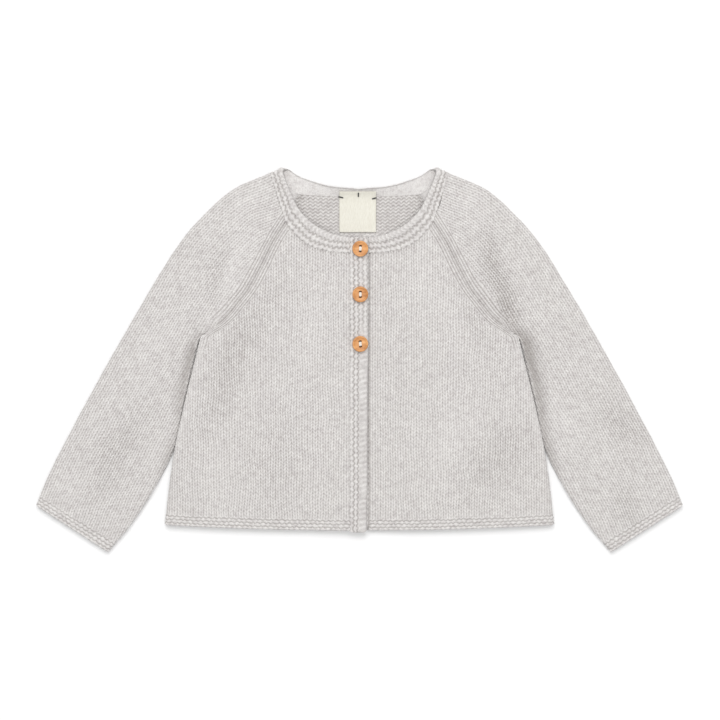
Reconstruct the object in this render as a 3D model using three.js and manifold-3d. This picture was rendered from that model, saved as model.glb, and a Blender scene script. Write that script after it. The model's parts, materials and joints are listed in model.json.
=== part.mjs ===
// Baby cardigan in plain knit with raglan sleeves, garter-stitch bands and three buttons.
// It lies flat on its back with its front up. x runs across the chest, y from hem to neck,
// z up from the surface that it lies on. Lengths are in millimetres.
// The two sides mirror each other but for the front overlap: the wearer's right front, at
// negative x, lies over the left one.
import * as THREE from "three";
import Module from "manifold-3d";

const wasm = await Module();
wasm.setup();

// Cloth
const WALL = 2.0; // one layer of knit
const SEAM = 0.3; // gap between two pieces that are sewn together
const NECK_SEAM = 0.5; // gap between a sleeve and the neckband, which folds more sharply
const SEAM_RUN = 0.3; // length left off each row where it meets a slanting seam

// Body
const UNDERARM_Y = 15.8;
const SIDE_HIGH = 6.2; // height of the folded side edge, both layers together
const FRONT_LOFT = 0.5; // how far the middle of each front stands above its side edge
const SEAM_RISE = 16; // length of raglan seam over which it climbs from the fold to the top
const HEM_Y = -123.5; // hem at the centre
const HEM_LIFT = 3.4; // how far the hem curves up at HEM_LIFT_X
const HEM_LIFT_X = 130;
const HEM_FADE = 60; // height above the hem where rows are straight again

// Front opening
const FRONT_EDGE = 7.4; // from the centre line to the seam of each front and its band
const OVERLAP_FADE = 34; // distance over which the fronts come back to one height
const OVER_RISE = 1.3; // how far the upper front climbs to pass over the lower band
const UNDER_DIP = 1.4; // how far the lower front dips under the upper band
const UPPER_BAND = { left: -7.1, right: 6.3, bottom: -124.9, top: 87.9, high: 7.7 };
const LOWER_BAND = { left: -5.6, right: 7.1, bottom: -121.5, top: 86.4, high: 4.6 };

// Raised stitches
const HEM_BAND = 8.4; // height of the garter band at hem and cuffs
const HEM_RIDGES = 3;
const RIDGE_RISE = 0.5;
const RIB_ZONE = 8.1; // width of the ribs beside each raglan seam
const RIBS = 3;
const RIB_RISE = 0.5;
const NECK_RIDGES = 3;
const BAND_RIDGES = 4;

// Buttons and label
const BUTTON = { radius: 5.7, thick: 2.4, rim: 1.1, dish: 0.5, hole: 0.7, holeApart: 3.4 };
const BUTTON_X = 0.6;
const BUTTON_YS = [79.2, 46.4, 10.8];
const LABEL = { halfWidth: 13.1, thick: 1.0 };

// Plan outlines of one half, x out from the centre line
const SIDE = [
  { y: -123.5, x: 140.2 },
  { y: -108.7, x: 138.6 },
  { y: -92.9, x: 137.0 },
  { y: -64.1, x: 133.0 },
  { y: -33.1, x: 126.4 },
  { y: -8.6, x: 120.5 },
  { y: 15.8, x: 114.2 },
];
const FRONT_RAGLAN = [
  { y: 15.8, x: 114.2 },
  { y: 22.3, x: 105.0 },
  { y: 31.0, x: 95.4 },
  { y: 41.0, x: 87.3 },
  { y: 49.7, x: 80.6 },
  { y: 67.0, x: 71.2 },
  { y: 84.2, x: 62.6 },
  { y: 99.0, x: 53.4 },
];
const BACK_RAGLAN = [
  { y: 15.8, x: 114.2 },
  { y: 29.0, x: 99.0 },
  { y: 48.0, x: 84.5 },
  { y: 70.0, x: 71.0 },
  { y: 94.0, x: 57.8 },
  { y: 118.8, x: 43.8 },
];
const FRONT_NECK = [
  { x: 0.0, y: 76.2 },
  { x: 9.0, y: 76.3 },
  { x: 20.0, y: 77.0 },
  { x: 33.0, y: 80.2 },
  { x: 42.0, y: 85.8 },
  { x: 48.0, y: 92.2 },
  { x: 53.4, y: 99.2 },
];
const BACK_NECK_Y = 118.8;
const BACK_NECK_DIP = 1.8; // how much lower the back neck seam is at the centre

// Sleeve sections from cuff to neck. out is the shoulder fold, in the underarm fold and then
// the front raglan seam, backY the back raglan seam. High is the height of both layers.
const SLEEVE = [
  {
    outX: 233.2, outY: -105.6, inX: 181.4, inY: -139.2, backY: -139.2,
    outHigh: 4.9, inHigh: 4.9, puff: 0.2,
  },
  {
    outX: 224.2, outY: -84.0, inX: 164.3, inY: -118.8, backY: -118.8,
    outHigh: 5.0, inHigh: 5.0, puff: 0.8,
  },
  {
    outX: 210.4, outY: -56.6, inX: 147.6, inY: -92.9, backY: -92.9,
    outHigh: 5.0, inHigh: 5.0, puff: 1.0,
  },
  {
    outX: 195.3, outY: -28.3, inX: 133.4, inY: -64.1, backY: -64.1,
    outHigh: 5.0, inHigh: 4.8, puff: 1.1,
  },
  {
    outX: 180.8, outY: -2.0, inX: 126.8, inY: -33.0, backY: -33.0,
    outHigh: 5.0, inHigh: 4.7, puff: 1.2,
  },
  {
    outX: 168.4, outY: 20.0, inX: 120.8, inY: -8.0, backY: -8.0,
    outHigh: 5.2, inHigh: 4.8, puff: 1.3,
  },
  {
    outX: 156.8, outY: 40.0, inX: 114.2, inY: 15.8, backY: 15.8,
    outHigh: 5.4, inHigh: 6.2, puff: 0.8,
  },
  {
    outX: 145.0, outY: 59.5, inX: 100.5, inY: 26.5, backY: 29.5,
    outHigh: 5.6, inHigh: 6.2, puff: 0.3,
  },
  {
    outX: 131.5, outY: 80.8, inX: 87.3, inY: 41.0, backY: 49.0,
    outHigh: 5.8, inHigh: 6.3, puff: 0.1,
  },
  {
    outX: 115.0, outY: 101.0, inX: 75.5, inY: 59.0, backY: 70.5,
    outHigh: 6.0, inHigh: 6.4, puff: 0.1,
  },
  {
    outX: 92.0, outY: 121.6, inX: 65.8, inY: 78.0, backY: 93.5,
    outHigh: 6.0, inHigh: 6.5, puff: 0.0,
  },
  {
    outX: 64.3, outY: 134.0, inX: 53.4, inY: 99.0, backY: 118.8,
    outHigh: 6.0, inHigh: 6.7, puff: 0.0,
  },
];
const UNDERARM_ROW = 6;
const CLEAR_OF_BODY = 0.4; // gap between a sleeve and the side edge that it lies against

// The soft fold down the sleeve beside the raglan ribs
const SLEEVE_FOLD = [
  { y: 10.0, x: 119.0, depth: 0.4 },
  { y: 35.3, x: 109.0, depth: 1.3 },
  { y: 49.7, x: 105.5, depth: 1.2 },
  { y: 67.7, x: 103.0, depth: 0.8 },
  { y: 89.3, x: 103.0, depth: 0.2 },
];
const SLEEVE_FOLD_WIDTH = 6;

// Free edge of the neckband. at counts from the front opening: 1 is the front raglan seam,
// 2 the shoulder fold, 3 the back raglan seam and 4 the centre back.
const NECK_EDGE = [
  { at: 0.0, x: 7.6, y: 87.7, z: 6.6 },
  { at: 0.25, x: 16.5, y: 89.2, z: 6.6 },
  { at: 0.5, x: 27.5, y: 93.6, z: 6.7 },
  { at: 0.75, x: 37.0, y: 100.3, z: 6.8 },
  { at: 1.0, x: 44.3, y: 108.8, z: 6.9 },
  { at: 1.4, x: 51.0, y: 123.0, z: 6.8 },
  { at: 1.66, x: 54.4, y: 131.6, z: 6.3 },
  { at: 1.8, x: 55.3, y: 135.4, z: 5.4 },
  { at: 1.9, x: 55.7, y: 137.4, z: 4.4 },
  { at: 2.0, x: 55.5, y: 138.4, z: 3.2 },
  { at: 2.1, x: 54.5, y: 138.6, z: 2.0 },
  { at: 2.2, x: 53.2, y: 138.0, z: 1.0 },
  { at: 2.34, x: 51.0, y: 136.6, z: 0.5 },
  { at: 3.0, x: 41.0, y: 130.9, z: 1.6 },
  { at: 3.5, x: 22.0, y: 125.5, z: 3.2 },
  { at: 4.0, x: 0.0, y: 123.6, z: 3.6 },
];

// The label's underside, from its lower edge up over the neck seam
const LABEL_REST = [
  { y: 91.4, z: 2.4 },
  { y: 98.0, z: 2.4 },
  { y: 112.0, z: 2.4 },
  { y: 115.2, z: 2.7 },
  { y: 117.8, z: 3.5 },
  { y: 120.4, z: 5.0 },
];

const KNIT = { color: 0xd6d1cd, roughness: 0.95, metalness: 0 };
const WOOD = { color: 0xd79250, roughness: 0.5, metalness: 0 };
const TAPE = { color: 0xf0ecdc, roughness: 0.8, metalness: 0 };

const UP = 1;
const DOWN = -1;

const vec = (x, y, z = 0) => new THREE.Vector3(x, y, z);
const lerp = THREE.MathUtils.lerp;
const ease = (t) => THREE.MathUtils.smoothstep(t, 0, 1);

// Reads a column of a table at a place along another column, on a smooth curve through its
// rows and straight on past its ends.
function read(table, along, at, column) {
  const last = table.length - 1;
  const slope = (i) => {
    const a = table[Math.max(i - 1, 0)];
    const b = table[Math.min(i + 1, last)];
    return (b[column] - a[column]) / (b[along] - a[along]);
  };
  if (at <= table[0][along]) return table[0][column] + slope(0) * (at - table[0][along]);
  if (at >= table[last][along]) return table[last][column] + slope(last) * (at - table[last][along]);
  const i = table.findIndex((row) => row[along] > at) - 1;
  const [a, b] = [table[i], table[i + 1]];
  const span = b[along] - a[along];
  const t = (at - a[along]) / span;
  return (
    a[column] * (1 + 2 * t) * (1 - t) ** 2 +
    slope(i) * span * t * (1 - t) ** 2 +
    b[column] * t * t * (3 - 2 * t) +
    slope(i + 1) * span * t * t * (t - 1)
  );
}

const steps = (from, to, n) => Array.from({ length: n + 1 }, (_, i) => lerp(from, to, i / n));

// The body's outline: side fold up to the underarm and raglan seam above it
const frontEdge = (y) => (y < UNDERARM_Y ? read(SIDE, "y", y, "x") : read(FRONT_RAGLAN, "y", y, "x"));
const backEdge = (y) => (y < UNDERARM_Y ? read(SIDE, "y", y, "x") : read(BACK_RAGLAN, "y", y, "x"));
// 1 where the edge is a full fold, 0 where it is a flat seam
const foldShare = (y) => 1 - ease((y - UNDERARM_Y) / SEAM_RISE);
const hemShift = (x, level) => HEM_LIFT * (x / HEM_LIFT_X) ** 2 * (1 - ease((level - HEM_Y) / HEM_FADE));

const FOLD_RADIUS = (SIDE_HIGH - SEAM) / 2;
// Where a row starts: a fold ends square at the seam, a flat seam leaves a gap
const rowStart = (share) => SEAM_RUN * (1 - share ** 4);

// Outer face of the upper layer of the body
function frontHigh(side, x, y) {
  const near = 1 - ease((x - FRONT_EDGE) / OVERLAP_FADE);
  const across = THREE.MathUtils.clamp((frontEdge(y) - x) / (frontEdge(y) - FRONT_EDGE), 0, 1);
  return SIDE_HIGH + FRONT_LOFT * Math.sin(Math.PI * across) + near * (side < 0 ? OVER_RISE : -UNDER_DIP);
}

// How far a point at a length run from a folded or sewn end lies from that end in plan, and
// how far below the face. share is 1 at a fold, where the face turns through a right angle.
function roundEnd(run, radius, share) {
  const sweep = (share * Math.PI) / 2;
  const bend = radius * sweep;
  if (run >= bend) return { away: radius * Math.sin(sweep) + run - bend, drop: 0 };
  const left = sweep - run / radius;
  return { away: radius * (Math.sin(sweep) - Math.sin(left)), drop: radius * (1 - Math.cos(left)) };
}

// Length of a face from a rounded end to a place at that distance in plan
const runTo = (away, radius, share) => {
  const sweep = (share * Math.PI) / 2;
  return away - radius * Math.sin(sweep) + radius * sweep;
};

// A closed wall from its outer face: rows of points, their normals, how far each is raised
function wall(rows, thick) {
  const across = rows[0].length;
  const points = [];
  for (const row of rows) {
    for (const { point, normal, rise } of row) points.push(point.clone().addScaledVector(normal, rise));
  }
  for (const row of rows) {
    for (const { point, normal } of row) points.push(point.clone().addScaledVector(normal, -thick));
  }
  const outer = (i, j) => i * across + j;
  const inner = (i, j) => rows.length * across + i * across + j;
  const faces = [];
  const apart = (a, b) => points[a].distanceTo(points[b]);
  const quad = (a, b, c, d) => {
    if (apart(a, c) < apart(b, d)) faces.push(a, b, c, a, c, d);
    else faces.push(a, b, d, b, c, d);
  };
  const [lastI, lastJ] = [rows.length - 1, across - 1];
  for (let i = 0; i < lastI; i++) {
    for (let j = 0; j < lastJ; j++) {
      quad(outer(i, j), outer(i, j + 1), outer(i + 1, j + 1), outer(i + 1, j));
      quad(inner(i, j), inner(i + 1, j), inner(i + 1, j + 1), inner(i, j + 1));
    }
    quad(outer(i, 0), outer(i + 1, 0), inner(i + 1, 0), inner(i, 0));
    quad(outer(i + 1, lastJ), outer(i, lastJ), inner(i, lastJ), inner(i + 1, lastJ));
  }
  for (let j = 0; j < lastJ; j++) {
    quad(outer(0, j + 1), outer(0, j), inner(0, j), inner(0, j + 1));
    quad(outer(lastI, j), outer(lastI, j + 1), inner(lastI, j + 1), inner(lastI, j));
  }
  return facingOut(points, faces);
}

function facingOut(points, faces) {
  let volume = 0;
  for (let i = 0; i < faces.length; i += 3) {
    const [a, b, c] = faces.slice(i, i + 3).map((k) => points[k]);
    volume += a.dot(b.clone().cross(c));
  }
  if (volume < 0) faces.reverse();
  return new THREE.BufferGeometry().setFromPoints(points).setIndex(faces);
}

// Rows of a wall from a face given as a function of two lengths
function faceRows(places, face, rise) {
  const tiny = 0.01;
  return places.map((row, i) =>
    row.map(([run, level], j) => {
      const point = face(run, level);
      const alongRun = face(run + tiny, level).sub(point);
      const alongLevel = face(run, level + tiny).sub(point);
      const normal = alongRun.cross(alongLevel).normalize();
      return { point, normal, rise: rise(i, j) };
    }),
  );
}

// Turns the normals round where those along one column of the face don't point up (or down)
function facing(up, rows, column) {
  if (rows[Math.floor(rows.length / 2)][column].normal.z * up > 0) return rows;
  return rows.map((row) => row.map((place) => ({ ...place, normal: place.normal.clone().negate() })));
}

// Places for the ridges of a garter band, valley and crest in turn
const bandLevels = (low, height, ridges) => steps(low, low + height, 2 * ridges);
const crest = (k, count, rise) => (k < count && k % 2 === 1 ? rise : 0);

// One front: rows run from the side edge to the front opening or the neck seam
function front(side) {
  const neckXs = [9, 15, 21, 27, 33, 38, 42, 45.5, 48.5, 51, 52.6];
  const levels = [
    ...bandLevels(HEM_Y, HEM_BAND, HEM_RIDGES),
    ...steps(HEM_Y + HEM_BAND, UNDERARM_Y, 10).slice(1),
    ...steps(UNDERARM_Y, read(FRONT_NECK, "x", FRONT_EDGE, "y"), 8).slice(1),
    ...neckXs.map((x) => read(FRONT_NECK, "x", x, "y")),
  ];
  const innerEnd = (level) => {
    const k = levels.indexOf(level) - (levels.length - neckXs.length);
    return k < 0 ? FRONT_EDGE : neckXs[k];
  };
  const radius = FOLD_RADIUS;
  const places = levels.map((level) => {
    const total = runTo(frontEdge(level) - innerEnd(level), radius, foldShare(level));
    const ribs = Math.min(RIB_ZONE, 0.45 * total);
    const start = rowStart(foldShare(level));
    return [...steps(start, ribs, 2 * RIBS), ...steps(ribs, total, 6).slice(1)].map((run) => [run, level]);
  });
  const face = (run, level) => {
    const { away, drop } = roundEnd(run, radius, foldShare(level));
    const x = frontEdge(level) - away;
    return vec(side * x, level + hemShift(x, level), frontHigh(side, x, level) - drop);
  };
  const rise = (i, j) => {
    const hem = crest(i, 2 * HEM_RIDGES, RIDGE_RISE);
    const rib = crest(j, 2 * RIBS, RIB_RISE) * (1 - foldShare(levels[i]));
    return Math.max(hem, rib);
  };
  return wall(facing(UP, faceRows(places, face, rise), 2 * RIBS), WALL);
}

const neckDip = (x, level) => {
  const top = ease((level - UNDERARM_Y) / (BACK_NECK_Y - UNDERARM_Y));
  return BACK_NECK_DIP * top * (1 - (x / backEdge(level)) ** 2);
};

// The back: rows run from one side edge to the other
function back() {
  const radius = FOLD_RADIUS;
  const levels = [...steps(HEM_Y, UNDERARM_Y, 11), ...steps(UNDERARM_Y, BACK_NECK_Y, 10).slice(1)];
  const places = levels.map((level) => {
    const total = 2 * runTo(backEdge(level), radius, foldShare(level));
    const bend = Math.max(radius * foldShare(level) * (Math.PI / 2), 3);
    const half = [...steps(rowStart(foldShare(level)), bend, 3), ...steps(bend, total / 2, 4).slice(1)];
    const mirrored = half.slice(0, -1).reverse().map((run) => total - run);
    return [...half, ...mirrored].map((run) => [run, level]);
  });
  const face = (run, level) => {
    const total = 2 * runTo(backEdge(level), radius, foldShare(level));
    const left = run < total / 2;
    const { away, drop } = roundEnd(left ? run : total - run, radius, foldShare(level));
    const x = backEdge(level) - away;
    return vec(left ? -x : x, level + hemShift(x, level) - neckDip(x, level), drop);
  };
  return wall(facing(DOWN, faceRows(places, face, () => 0), 7), WALL);
}

// Lies between two table rows of the sleeve; t counts rows from the cuff
function sleeveSection(t) {
  const table = SLEEVE.map((row, index) => ({ ...row, index }));
  const at = (column) => read(table, "index", t, column);
  const inY = at("inY");
  const backY = at("backY");
  const sewn = t > UNDERARM_ROW;
  const inX = sewn ? frontEdge(inY) : Math.max(at("inX"), frontEdge(inY) + CLEAR_OF_BODY);
  const backX = sewn ? backEdge(backY) : Math.max(at("inX"), backEdge(backY) + CLEAR_OF_BODY);
  const out = vec(at("outX"), at("outY"));
  const [frontEnd, backEnd] = [vec(inX, inY), vec(backX, backY)];
  const share = sewn ? foldShare(inY) : 1;
  return { out, frontEnd, backEnd, share, outHigh: at("outHigh"), inHigh: at("inHigh"), puff: at("puff") };
}

function sleeveFold(x, y) {
  if (y < SLEEVE_FOLD[0].y - SLEEVE_FOLD_WIDTH || y > SLEEVE_FOLD[SLEEVE_FOLD.length - 1].y) return 0;
  const away = x - read(SLEEVE_FOLD, "y", y, "x");
  const depth = Math.max(0, read(SLEEVE_FOLD, "y", y, "depth"));
  return depth * Math.exp(-((away / SLEEVE_FOLD_WIDTH) ** 2));
}

// Lengths of the parts of a sleeve section: front layer, shoulder fold and back layer
function sleeveLengths({ out, frontEnd, backEnd, share, outHigh, inHigh }) {
  const [outR, inR] = [outHigh / 2, (inHigh - SEAM) / 2];
  const frontLay = runTo(out.distanceTo(frontEnd) - outR, inR, share);
  const backLay = runTo(out.distanceTo(backEnd) - outR, inR, share);
  return { frontLay, fold: Math.PI * outR, backLay };
}

// A point of the sleeve's outer face: part 0 to 1 is the front layer from the underarm or
// raglan seam, 1 to 2 the shoulder fold, 2 to 3 the back layer.
function sleevePoint(side, part, t) {
  const section = sleeveSection(t);
  const { out, frontEnd, backEnd, share, outHigh, inHigh, puff } = section;
  const { frontLay, backLay } = sleeveLengths(section);
  const [outR, inR] = [outHigh / 2, (inHigh - SEAM) / 2];
  const toFront = frontEnd.clone().sub(out).normalize();
  const toBack = backEnd.clone().sub(out).normalize();
  let point;
  if (part < 1) {
    const { away, drop } = roundEnd(part * frontLay, inR, share);
    point = frontEnd.clone().addScaledVector(toFront, -away);
    const s = away / frontEnd.distanceTo(out);
    const loft = lerp(inHigh, outHigh, s) + puff * Math.sin(Math.PI * s);
    point.z = loft - drop - sleeveFold(point.x, point.y) * (1 - s);
  } else if (part <= 2) {
    const turn = (part - 1) * Math.PI;
    const along = toFront.clone().lerp(toBack, part - 1).normalize();
    point = out.clone().addScaledVector(along, outR * (1 - Math.sin(turn)));
    point.z = outR * (1 + Math.cos(turn));
  } else {
    const { away, drop } = roundEnd((3 - part) * backLay, inR, share);
    point = backEnd.clone().addScaledVector(toBack, -away);
    point.z = drop;
  }
  return vec(side * point.x, point.y, point.z);
}

// Places along a sleeve section, with the ribs' valleys and crests first
function sleeveParts(t) {
  const section = sleeveSection(t);
  const { frontLay, backLay } = sleeveLengths(section);
  const ribs = Math.min(RIB_ZONE, 0.45 * frontLay) / frontLay;
  const end = rowStart(section.share);
  return [
    ...steps(end / frontLay, ribs, 2 * RIBS),
    ...steps(ribs, 1, 5).slice(1),
    ...steps(1, 2, 5).slice(1),
    ...steps(2, 3 - 3 / backLay, 4).slice(1),
    ...steps(3 - 3 / backLay, 3 - end / backLay, 2).slice(1),
  ];
}

function sleeve(side) {
  const cuffLength = sleevePoint(1, 1, 0).distanceTo(sleevePoint(1, 1, 1));
  const ts = [
    ...bandLevels(0, HEM_BAND / cuffLength, HEM_RIDGES),
    ...steps(HEM_BAND / cuffLength, UNDERARM_ROW, 8).slice(1),
    ...steps(UNDERARM_ROW, SLEEVE.length - 1, 9).slice(1),
  ];
  const places = ts.map((t) => sleeveParts(t).map((part) => [part, t]));
  const rise = (i, j) => {
    const [part, t] = places[i][j];
    const facesUp = ease((2 - part) / 0.5);
    const cuff = crest(i, 2 * HEM_RIDGES, RIDGE_RISE) * facesUp;
    const sewn = t > UNDERARM_ROW ? 1 - foldShare(sleeveSection(t).frontEnd.y) : 0;
    const rib = crest(j, 2 * RIBS, RIB_RISE) * sewn;
    return Math.max(cuff, rib);
  };
  const face = (part, t) => sleevePoint(side, part, t);
  return wall(facing(UP, faceRows(places, face, rise), 2 * RIBS), WALL);
}

// The seam edge of the neckband on one side, from the front opening to the centre back
function neckSeam(side) {
  const rail = [];
  const frontXs = [FRONT_EDGE + SEAM, 14, 20, 26, 32, 37, 42, 46, 49.5, 52];
  frontXs.forEach((x, k) => {
    const y = read(FRONT_NECK, "x", x, "y");
    const lean = vec(read(FRONT_NECK, "x", x + 1, "y") - y, -1).normalize();
    const seat = vec(x, y).addScaledVector(lean, -SEAM);
    rail.push({
      at: k / frontXs.length,
      point: vec(side * seat.x, seat.y, frontHigh(side, x, y)),
      normal: vec(0, 0, 1),
    });
  });
  const top = SLEEVE.length - 1;
  const { frontLay, backLay } = sleeveLengths(sleeveSection(top));
  const frontParts = steps(2 / frontLay, 1, 5);
  const foldParts = steps(1, 2, 5).slice(1);
  const backParts = steps(2, 3 - 2 / backLay, 3).slice(1);
  const parts = [...frontParts, ...foldParts, ...backParts];
  for (const part of parts) {
    const point = sleevePoint(side, part, top);
    const onward = point.clone().sub(sleevePoint(side, part, top - 0.01)).normalize();
    const around = sleevePoint(side, part + 0.005, top).sub(sleevePoint(side, part - 0.005, top));
    const normal = onward.clone().cross(around).normalize().multiplyScalar(-side);
    const away = around.cross(normal).normalize();
    if (away.dot(onward) < 0) away.negate();
    rail.push({ at: lerp(1, 3, part / 3), point: point.addScaledVector(away, NECK_SEAM), normal });
  }
  for (const x of [42, 34, 26, 17.5, 9, 0]) {
    const y = BACK_NECK_Y - neckDip(x, BACK_NECK_Y) + SEAM;
    rail.push({ at: 4 - x / 44, point: vec(side * x, y, 0), normal: vec(0, 0, -1) });
  }
  return rail;
}

const SHOULDER = 2; // where the neckband folds over, counted as in NECK_EDGE

// Neckband: a strip from one front opening round the neck to the other
function neckband() {
  const half = (side) =>
    neckSeam(side).map(({ at, point, normal }) => {
      const freeX = read(NECK_EDGE, "at", at, "x");
      const overlap = at < 1 ? frontHigh(side, freeX, 85) - frontHigh(0, 60, 85) : 0;
      const free = vec(
        side * freeX,
        read(NECK_EDGE, "at", at, "y"),
        read(NECK_EDGE, "at", at, "z") + (at < 1 ? overlap * 0.9 : 0),
      );
      return { at, seam: point, normal, free };
    });
  const stations = [...half(-1), ...half(1).reverse().slice(1)];
  const across = 2 * NECK_RIDGES;
  const grid = stations.map(({ seam, free }) => steps(0, 1, across).map((s) => seam.clone().lerp(free, s)));
  const rows = stations.map((station, i) =>
    grid[i].map((point, j) => {
      const alongBand = grid[Math.min(i + 1, grid.length - 1)][j].clone().sub(grid[Math.max(i - 1, 0)][j]);
      const acrossBand = grid[i][Math.min(j + 1, across)].clone().sub(grid[i][Math.max(j - 1, 0)]);
      let normal = alongBand.cross(acrossBand).normalize();
      if (normal.dot(station.normal) < 0) normal.negate();
      const own = Math.min(1, (2 * j) / across, Math.abs(station.at - SHOULDER) / 0.8);
      normal = station.normal.clone().lerp(normal, own).normalize();
      return { point, normal, rise: crest(j, across, RIDGE_RISE) * ease(SHOULDER - station.at) };
    }),
  );
  return wall(rows, WALL);
}

// A straight front band with ridges along it
function frontBand({ left, right, bottom, top, high }) {
  const cornerCut = 2.2;
  const ys = [bottom, bottom + cornerCut, ...steps(bottom + 12, top - 12, 8), top - cornerCut, top];
  const xs = steps(left, right, 2 * BAND_RIDGES);
  const rows = ys.map((y, i) =>
    xs.map((x, j) => {
      const atEnd = i === 0 || i === ys.length - 1;
      const atCorner = atEnd && (j === 0 || j === xs.length - 1);
      const trim = atCorner ? cornerCut * 0.5 * Math.sign(y) : 0;
      const rise = crest(j, 2 * BAND_RIDGES, RIDGE_RISE);
      return { point: vec(x, y - trim, high), normal: vec(0, 0, 1), rise };
    }),
  );
  return wall(rows, WALL);
}

function label() {
  const { halfWidth, thick } = LABEL;
  const placed = (x, y, z) => ({ point: vec(x, y, z + thick), normal: vec(0, 0, 1), rise: 0 });
  const rows = LABEL_REST.map(({ y, z }) => steps(-halfWidth, halfWidth, 4).map((x) => placed(x, y, z)));
  return wall(rows, thick);
}

const solidOf = (geometry) => {
  const position = geometry.getAttribute("position");
  const vertProperties = new Float32Array(position.array);
  const triVerts = new Uint32Array(geometry.index.array);
  return new wasm.Manifold(new wasm.Mesh({ numProp: 3, vertProperties, triVerts }));
};

function geometryOf(solid) {
  const mesh = solid.getMesh();
  const position = new THREE.BufferAttribute(new Float32Array(mesh.vertProperties), 3);
  return new THREE.BufferGeometry()
    .setAttribute("position", position)
    .setIndex(new THREE.BufferAttribute(new Uint32Array(mesh.triVerts), 1));
}

// A solid of revolution about z from (radius, height) pairs that start and end on the axis
function turned(profile, segments) {
  const points = [];
  const faces = [];
  const ring = (k) => profile[k][0] === 0;
  const starts = profile.map(([r, z], k) => {
    const start = points.length;
    const count = ring(k) ? 1 : segments;
    for (let i = 0; i < count; i++) {
      const turn = (2 * Math.PI * i) / segments;
      points.push(vec(r * Math.cos(turn), r * Math.sin(turn), z));
    }
    return start;
  });
  for (let k = 0; k < profile.length - 1; k++) {
    for (let i = 0; i < segments; i++) {
      const next = (i + 1) % segments;
      const low = (n) => starts[k] + (ring(k) ? 0 : n);
      const up = (n) => starts[k + 1] + (ring(k + 1) ? 0 : n);
      if (!ring(k)) faces.push(low(i), low(next), up(next));
      if (!ring(k + 1)) faces.push(low(i), up(next), up(i));
    }
  }
  return facingOut(points, faces);
}

function button() {
  const { radius, thick, rim, dish, hole, holeApart } = BUTTON;
  const soft = 0.5;
  const body = solidOf(
    turned(
      [
        [0, 0],
        [radius - soft, 0],
        [radius, soft],
        [radius, thick - soft],
        [radius - soft, thick],
        [radius - rim, thick],
        [radius - rim - soft, thick - dish],
        [0, thick - dish],
      ],
      28,
    ),
  );
  const bore = [[0, -1], [hole, -1], [hole, thick + 1], [0, thick + 1]];
  const holes = [-1, 1].map((end) => solidOf(turned(bore, 10)).translate([0, (end * holeApart) / 2, 0]));
  return geometryOf(body.subtract(holes[0].add(holes[1])));
}

const cardigan = new THREE.Group();

function add(name, geometry, look, position = vec(0, 0, 0)) {
  const mesh = new THREE.Mesh(geometry, new THREE.MeshStandardMaterial(look));
  mesh.name = name;
  mesh.position.copy(position);
  cardigan.add(mesh);
}

add("back", back(), KNIT);
add("front_right", front(-1), KNIT);
add("front_left", front(1), KNIT);
add("sleeve_right", sleeve(-1), KNIT);
add("sleeve_left", sleeve(1), KNIT);
add("neckband", neckband(), KNIT);
add("buttonhole_band", frontBand(UPPER_BAND), KNIT);
add("button_band", frontBand(LOWER_BAND), KNIT);
add("label", label(), TAPE);
BUTTON_YS.forEach((y, k) => {
  add(`button_${k + 1}`, button(), WOOD, vec(BUTTON_X, y, UPPER_BAND.high + RIDGE_RISE + SEAM));
});

export default cardigan;
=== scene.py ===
import json

import bmesh
import bpy
import numpy as np
from mathutils import Matrix, Vector

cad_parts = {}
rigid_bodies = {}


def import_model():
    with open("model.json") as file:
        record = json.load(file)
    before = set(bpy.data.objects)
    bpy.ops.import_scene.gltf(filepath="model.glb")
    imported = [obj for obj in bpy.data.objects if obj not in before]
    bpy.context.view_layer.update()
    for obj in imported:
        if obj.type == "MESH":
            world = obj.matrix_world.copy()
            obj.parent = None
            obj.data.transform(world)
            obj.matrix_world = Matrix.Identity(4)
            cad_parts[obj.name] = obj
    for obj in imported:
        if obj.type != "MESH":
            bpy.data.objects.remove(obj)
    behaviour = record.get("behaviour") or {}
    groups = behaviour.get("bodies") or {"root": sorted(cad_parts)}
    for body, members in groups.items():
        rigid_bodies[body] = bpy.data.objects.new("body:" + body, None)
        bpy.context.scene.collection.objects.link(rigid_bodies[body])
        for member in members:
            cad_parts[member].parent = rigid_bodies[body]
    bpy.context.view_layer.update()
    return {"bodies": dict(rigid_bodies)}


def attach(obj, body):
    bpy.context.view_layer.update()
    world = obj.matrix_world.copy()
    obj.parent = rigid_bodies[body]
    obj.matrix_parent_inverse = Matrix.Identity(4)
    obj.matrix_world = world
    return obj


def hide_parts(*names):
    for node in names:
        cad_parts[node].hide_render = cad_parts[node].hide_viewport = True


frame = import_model()
BODY = next(iter(frame["bodies"]))
rng = np.random.default_rng(7)


# Rows of a table, each as a dictionary with the columns' names
def table(names, rows):
    return [dict(zip(names.split(), row)) for row in rows]


# Cloth
WALL = 2.0
SIDE_HIGH = 6.2
SEAM = 0.3
FOLD_RADIUS = (SIDE_HIGH - SEAM) / 2
CLEAR_OF_BODY = -1.1
UNDERARM_Y = 15.8
FRONT_LOFT = 0.5
SEAM_RISE = 10
HEM_Y = -123.5
HEM_LIFT = 3.4
HEM_LIFT_X = 130
HEM_FADE = 60
FRONT_EDGE = 6.6
SEAM_LAP = 0.35  # how far the cloth runs into a flat seam
CORNER_LAP = 1.2  # and how much farther where the seam turns into a fold
SEAM_DEEP = 1.0  # how far the cloth dips towards a raglan seam
SEAM_WIDE = 1.3
SEAM_SHADE = 0.12
TROUGH_SHADE = 0.19
SWELL_LIGHT = 0.13
OVERLAP_FADE = 34
OVER_RISE = 1.3
UNDER_DIP = 1.4
BACK_NECK_Y = 118.8
BACK_NECK_DIP = 1.8
RIB_ZONE = 7.8
RIB_PITCH = 2.22

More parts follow.
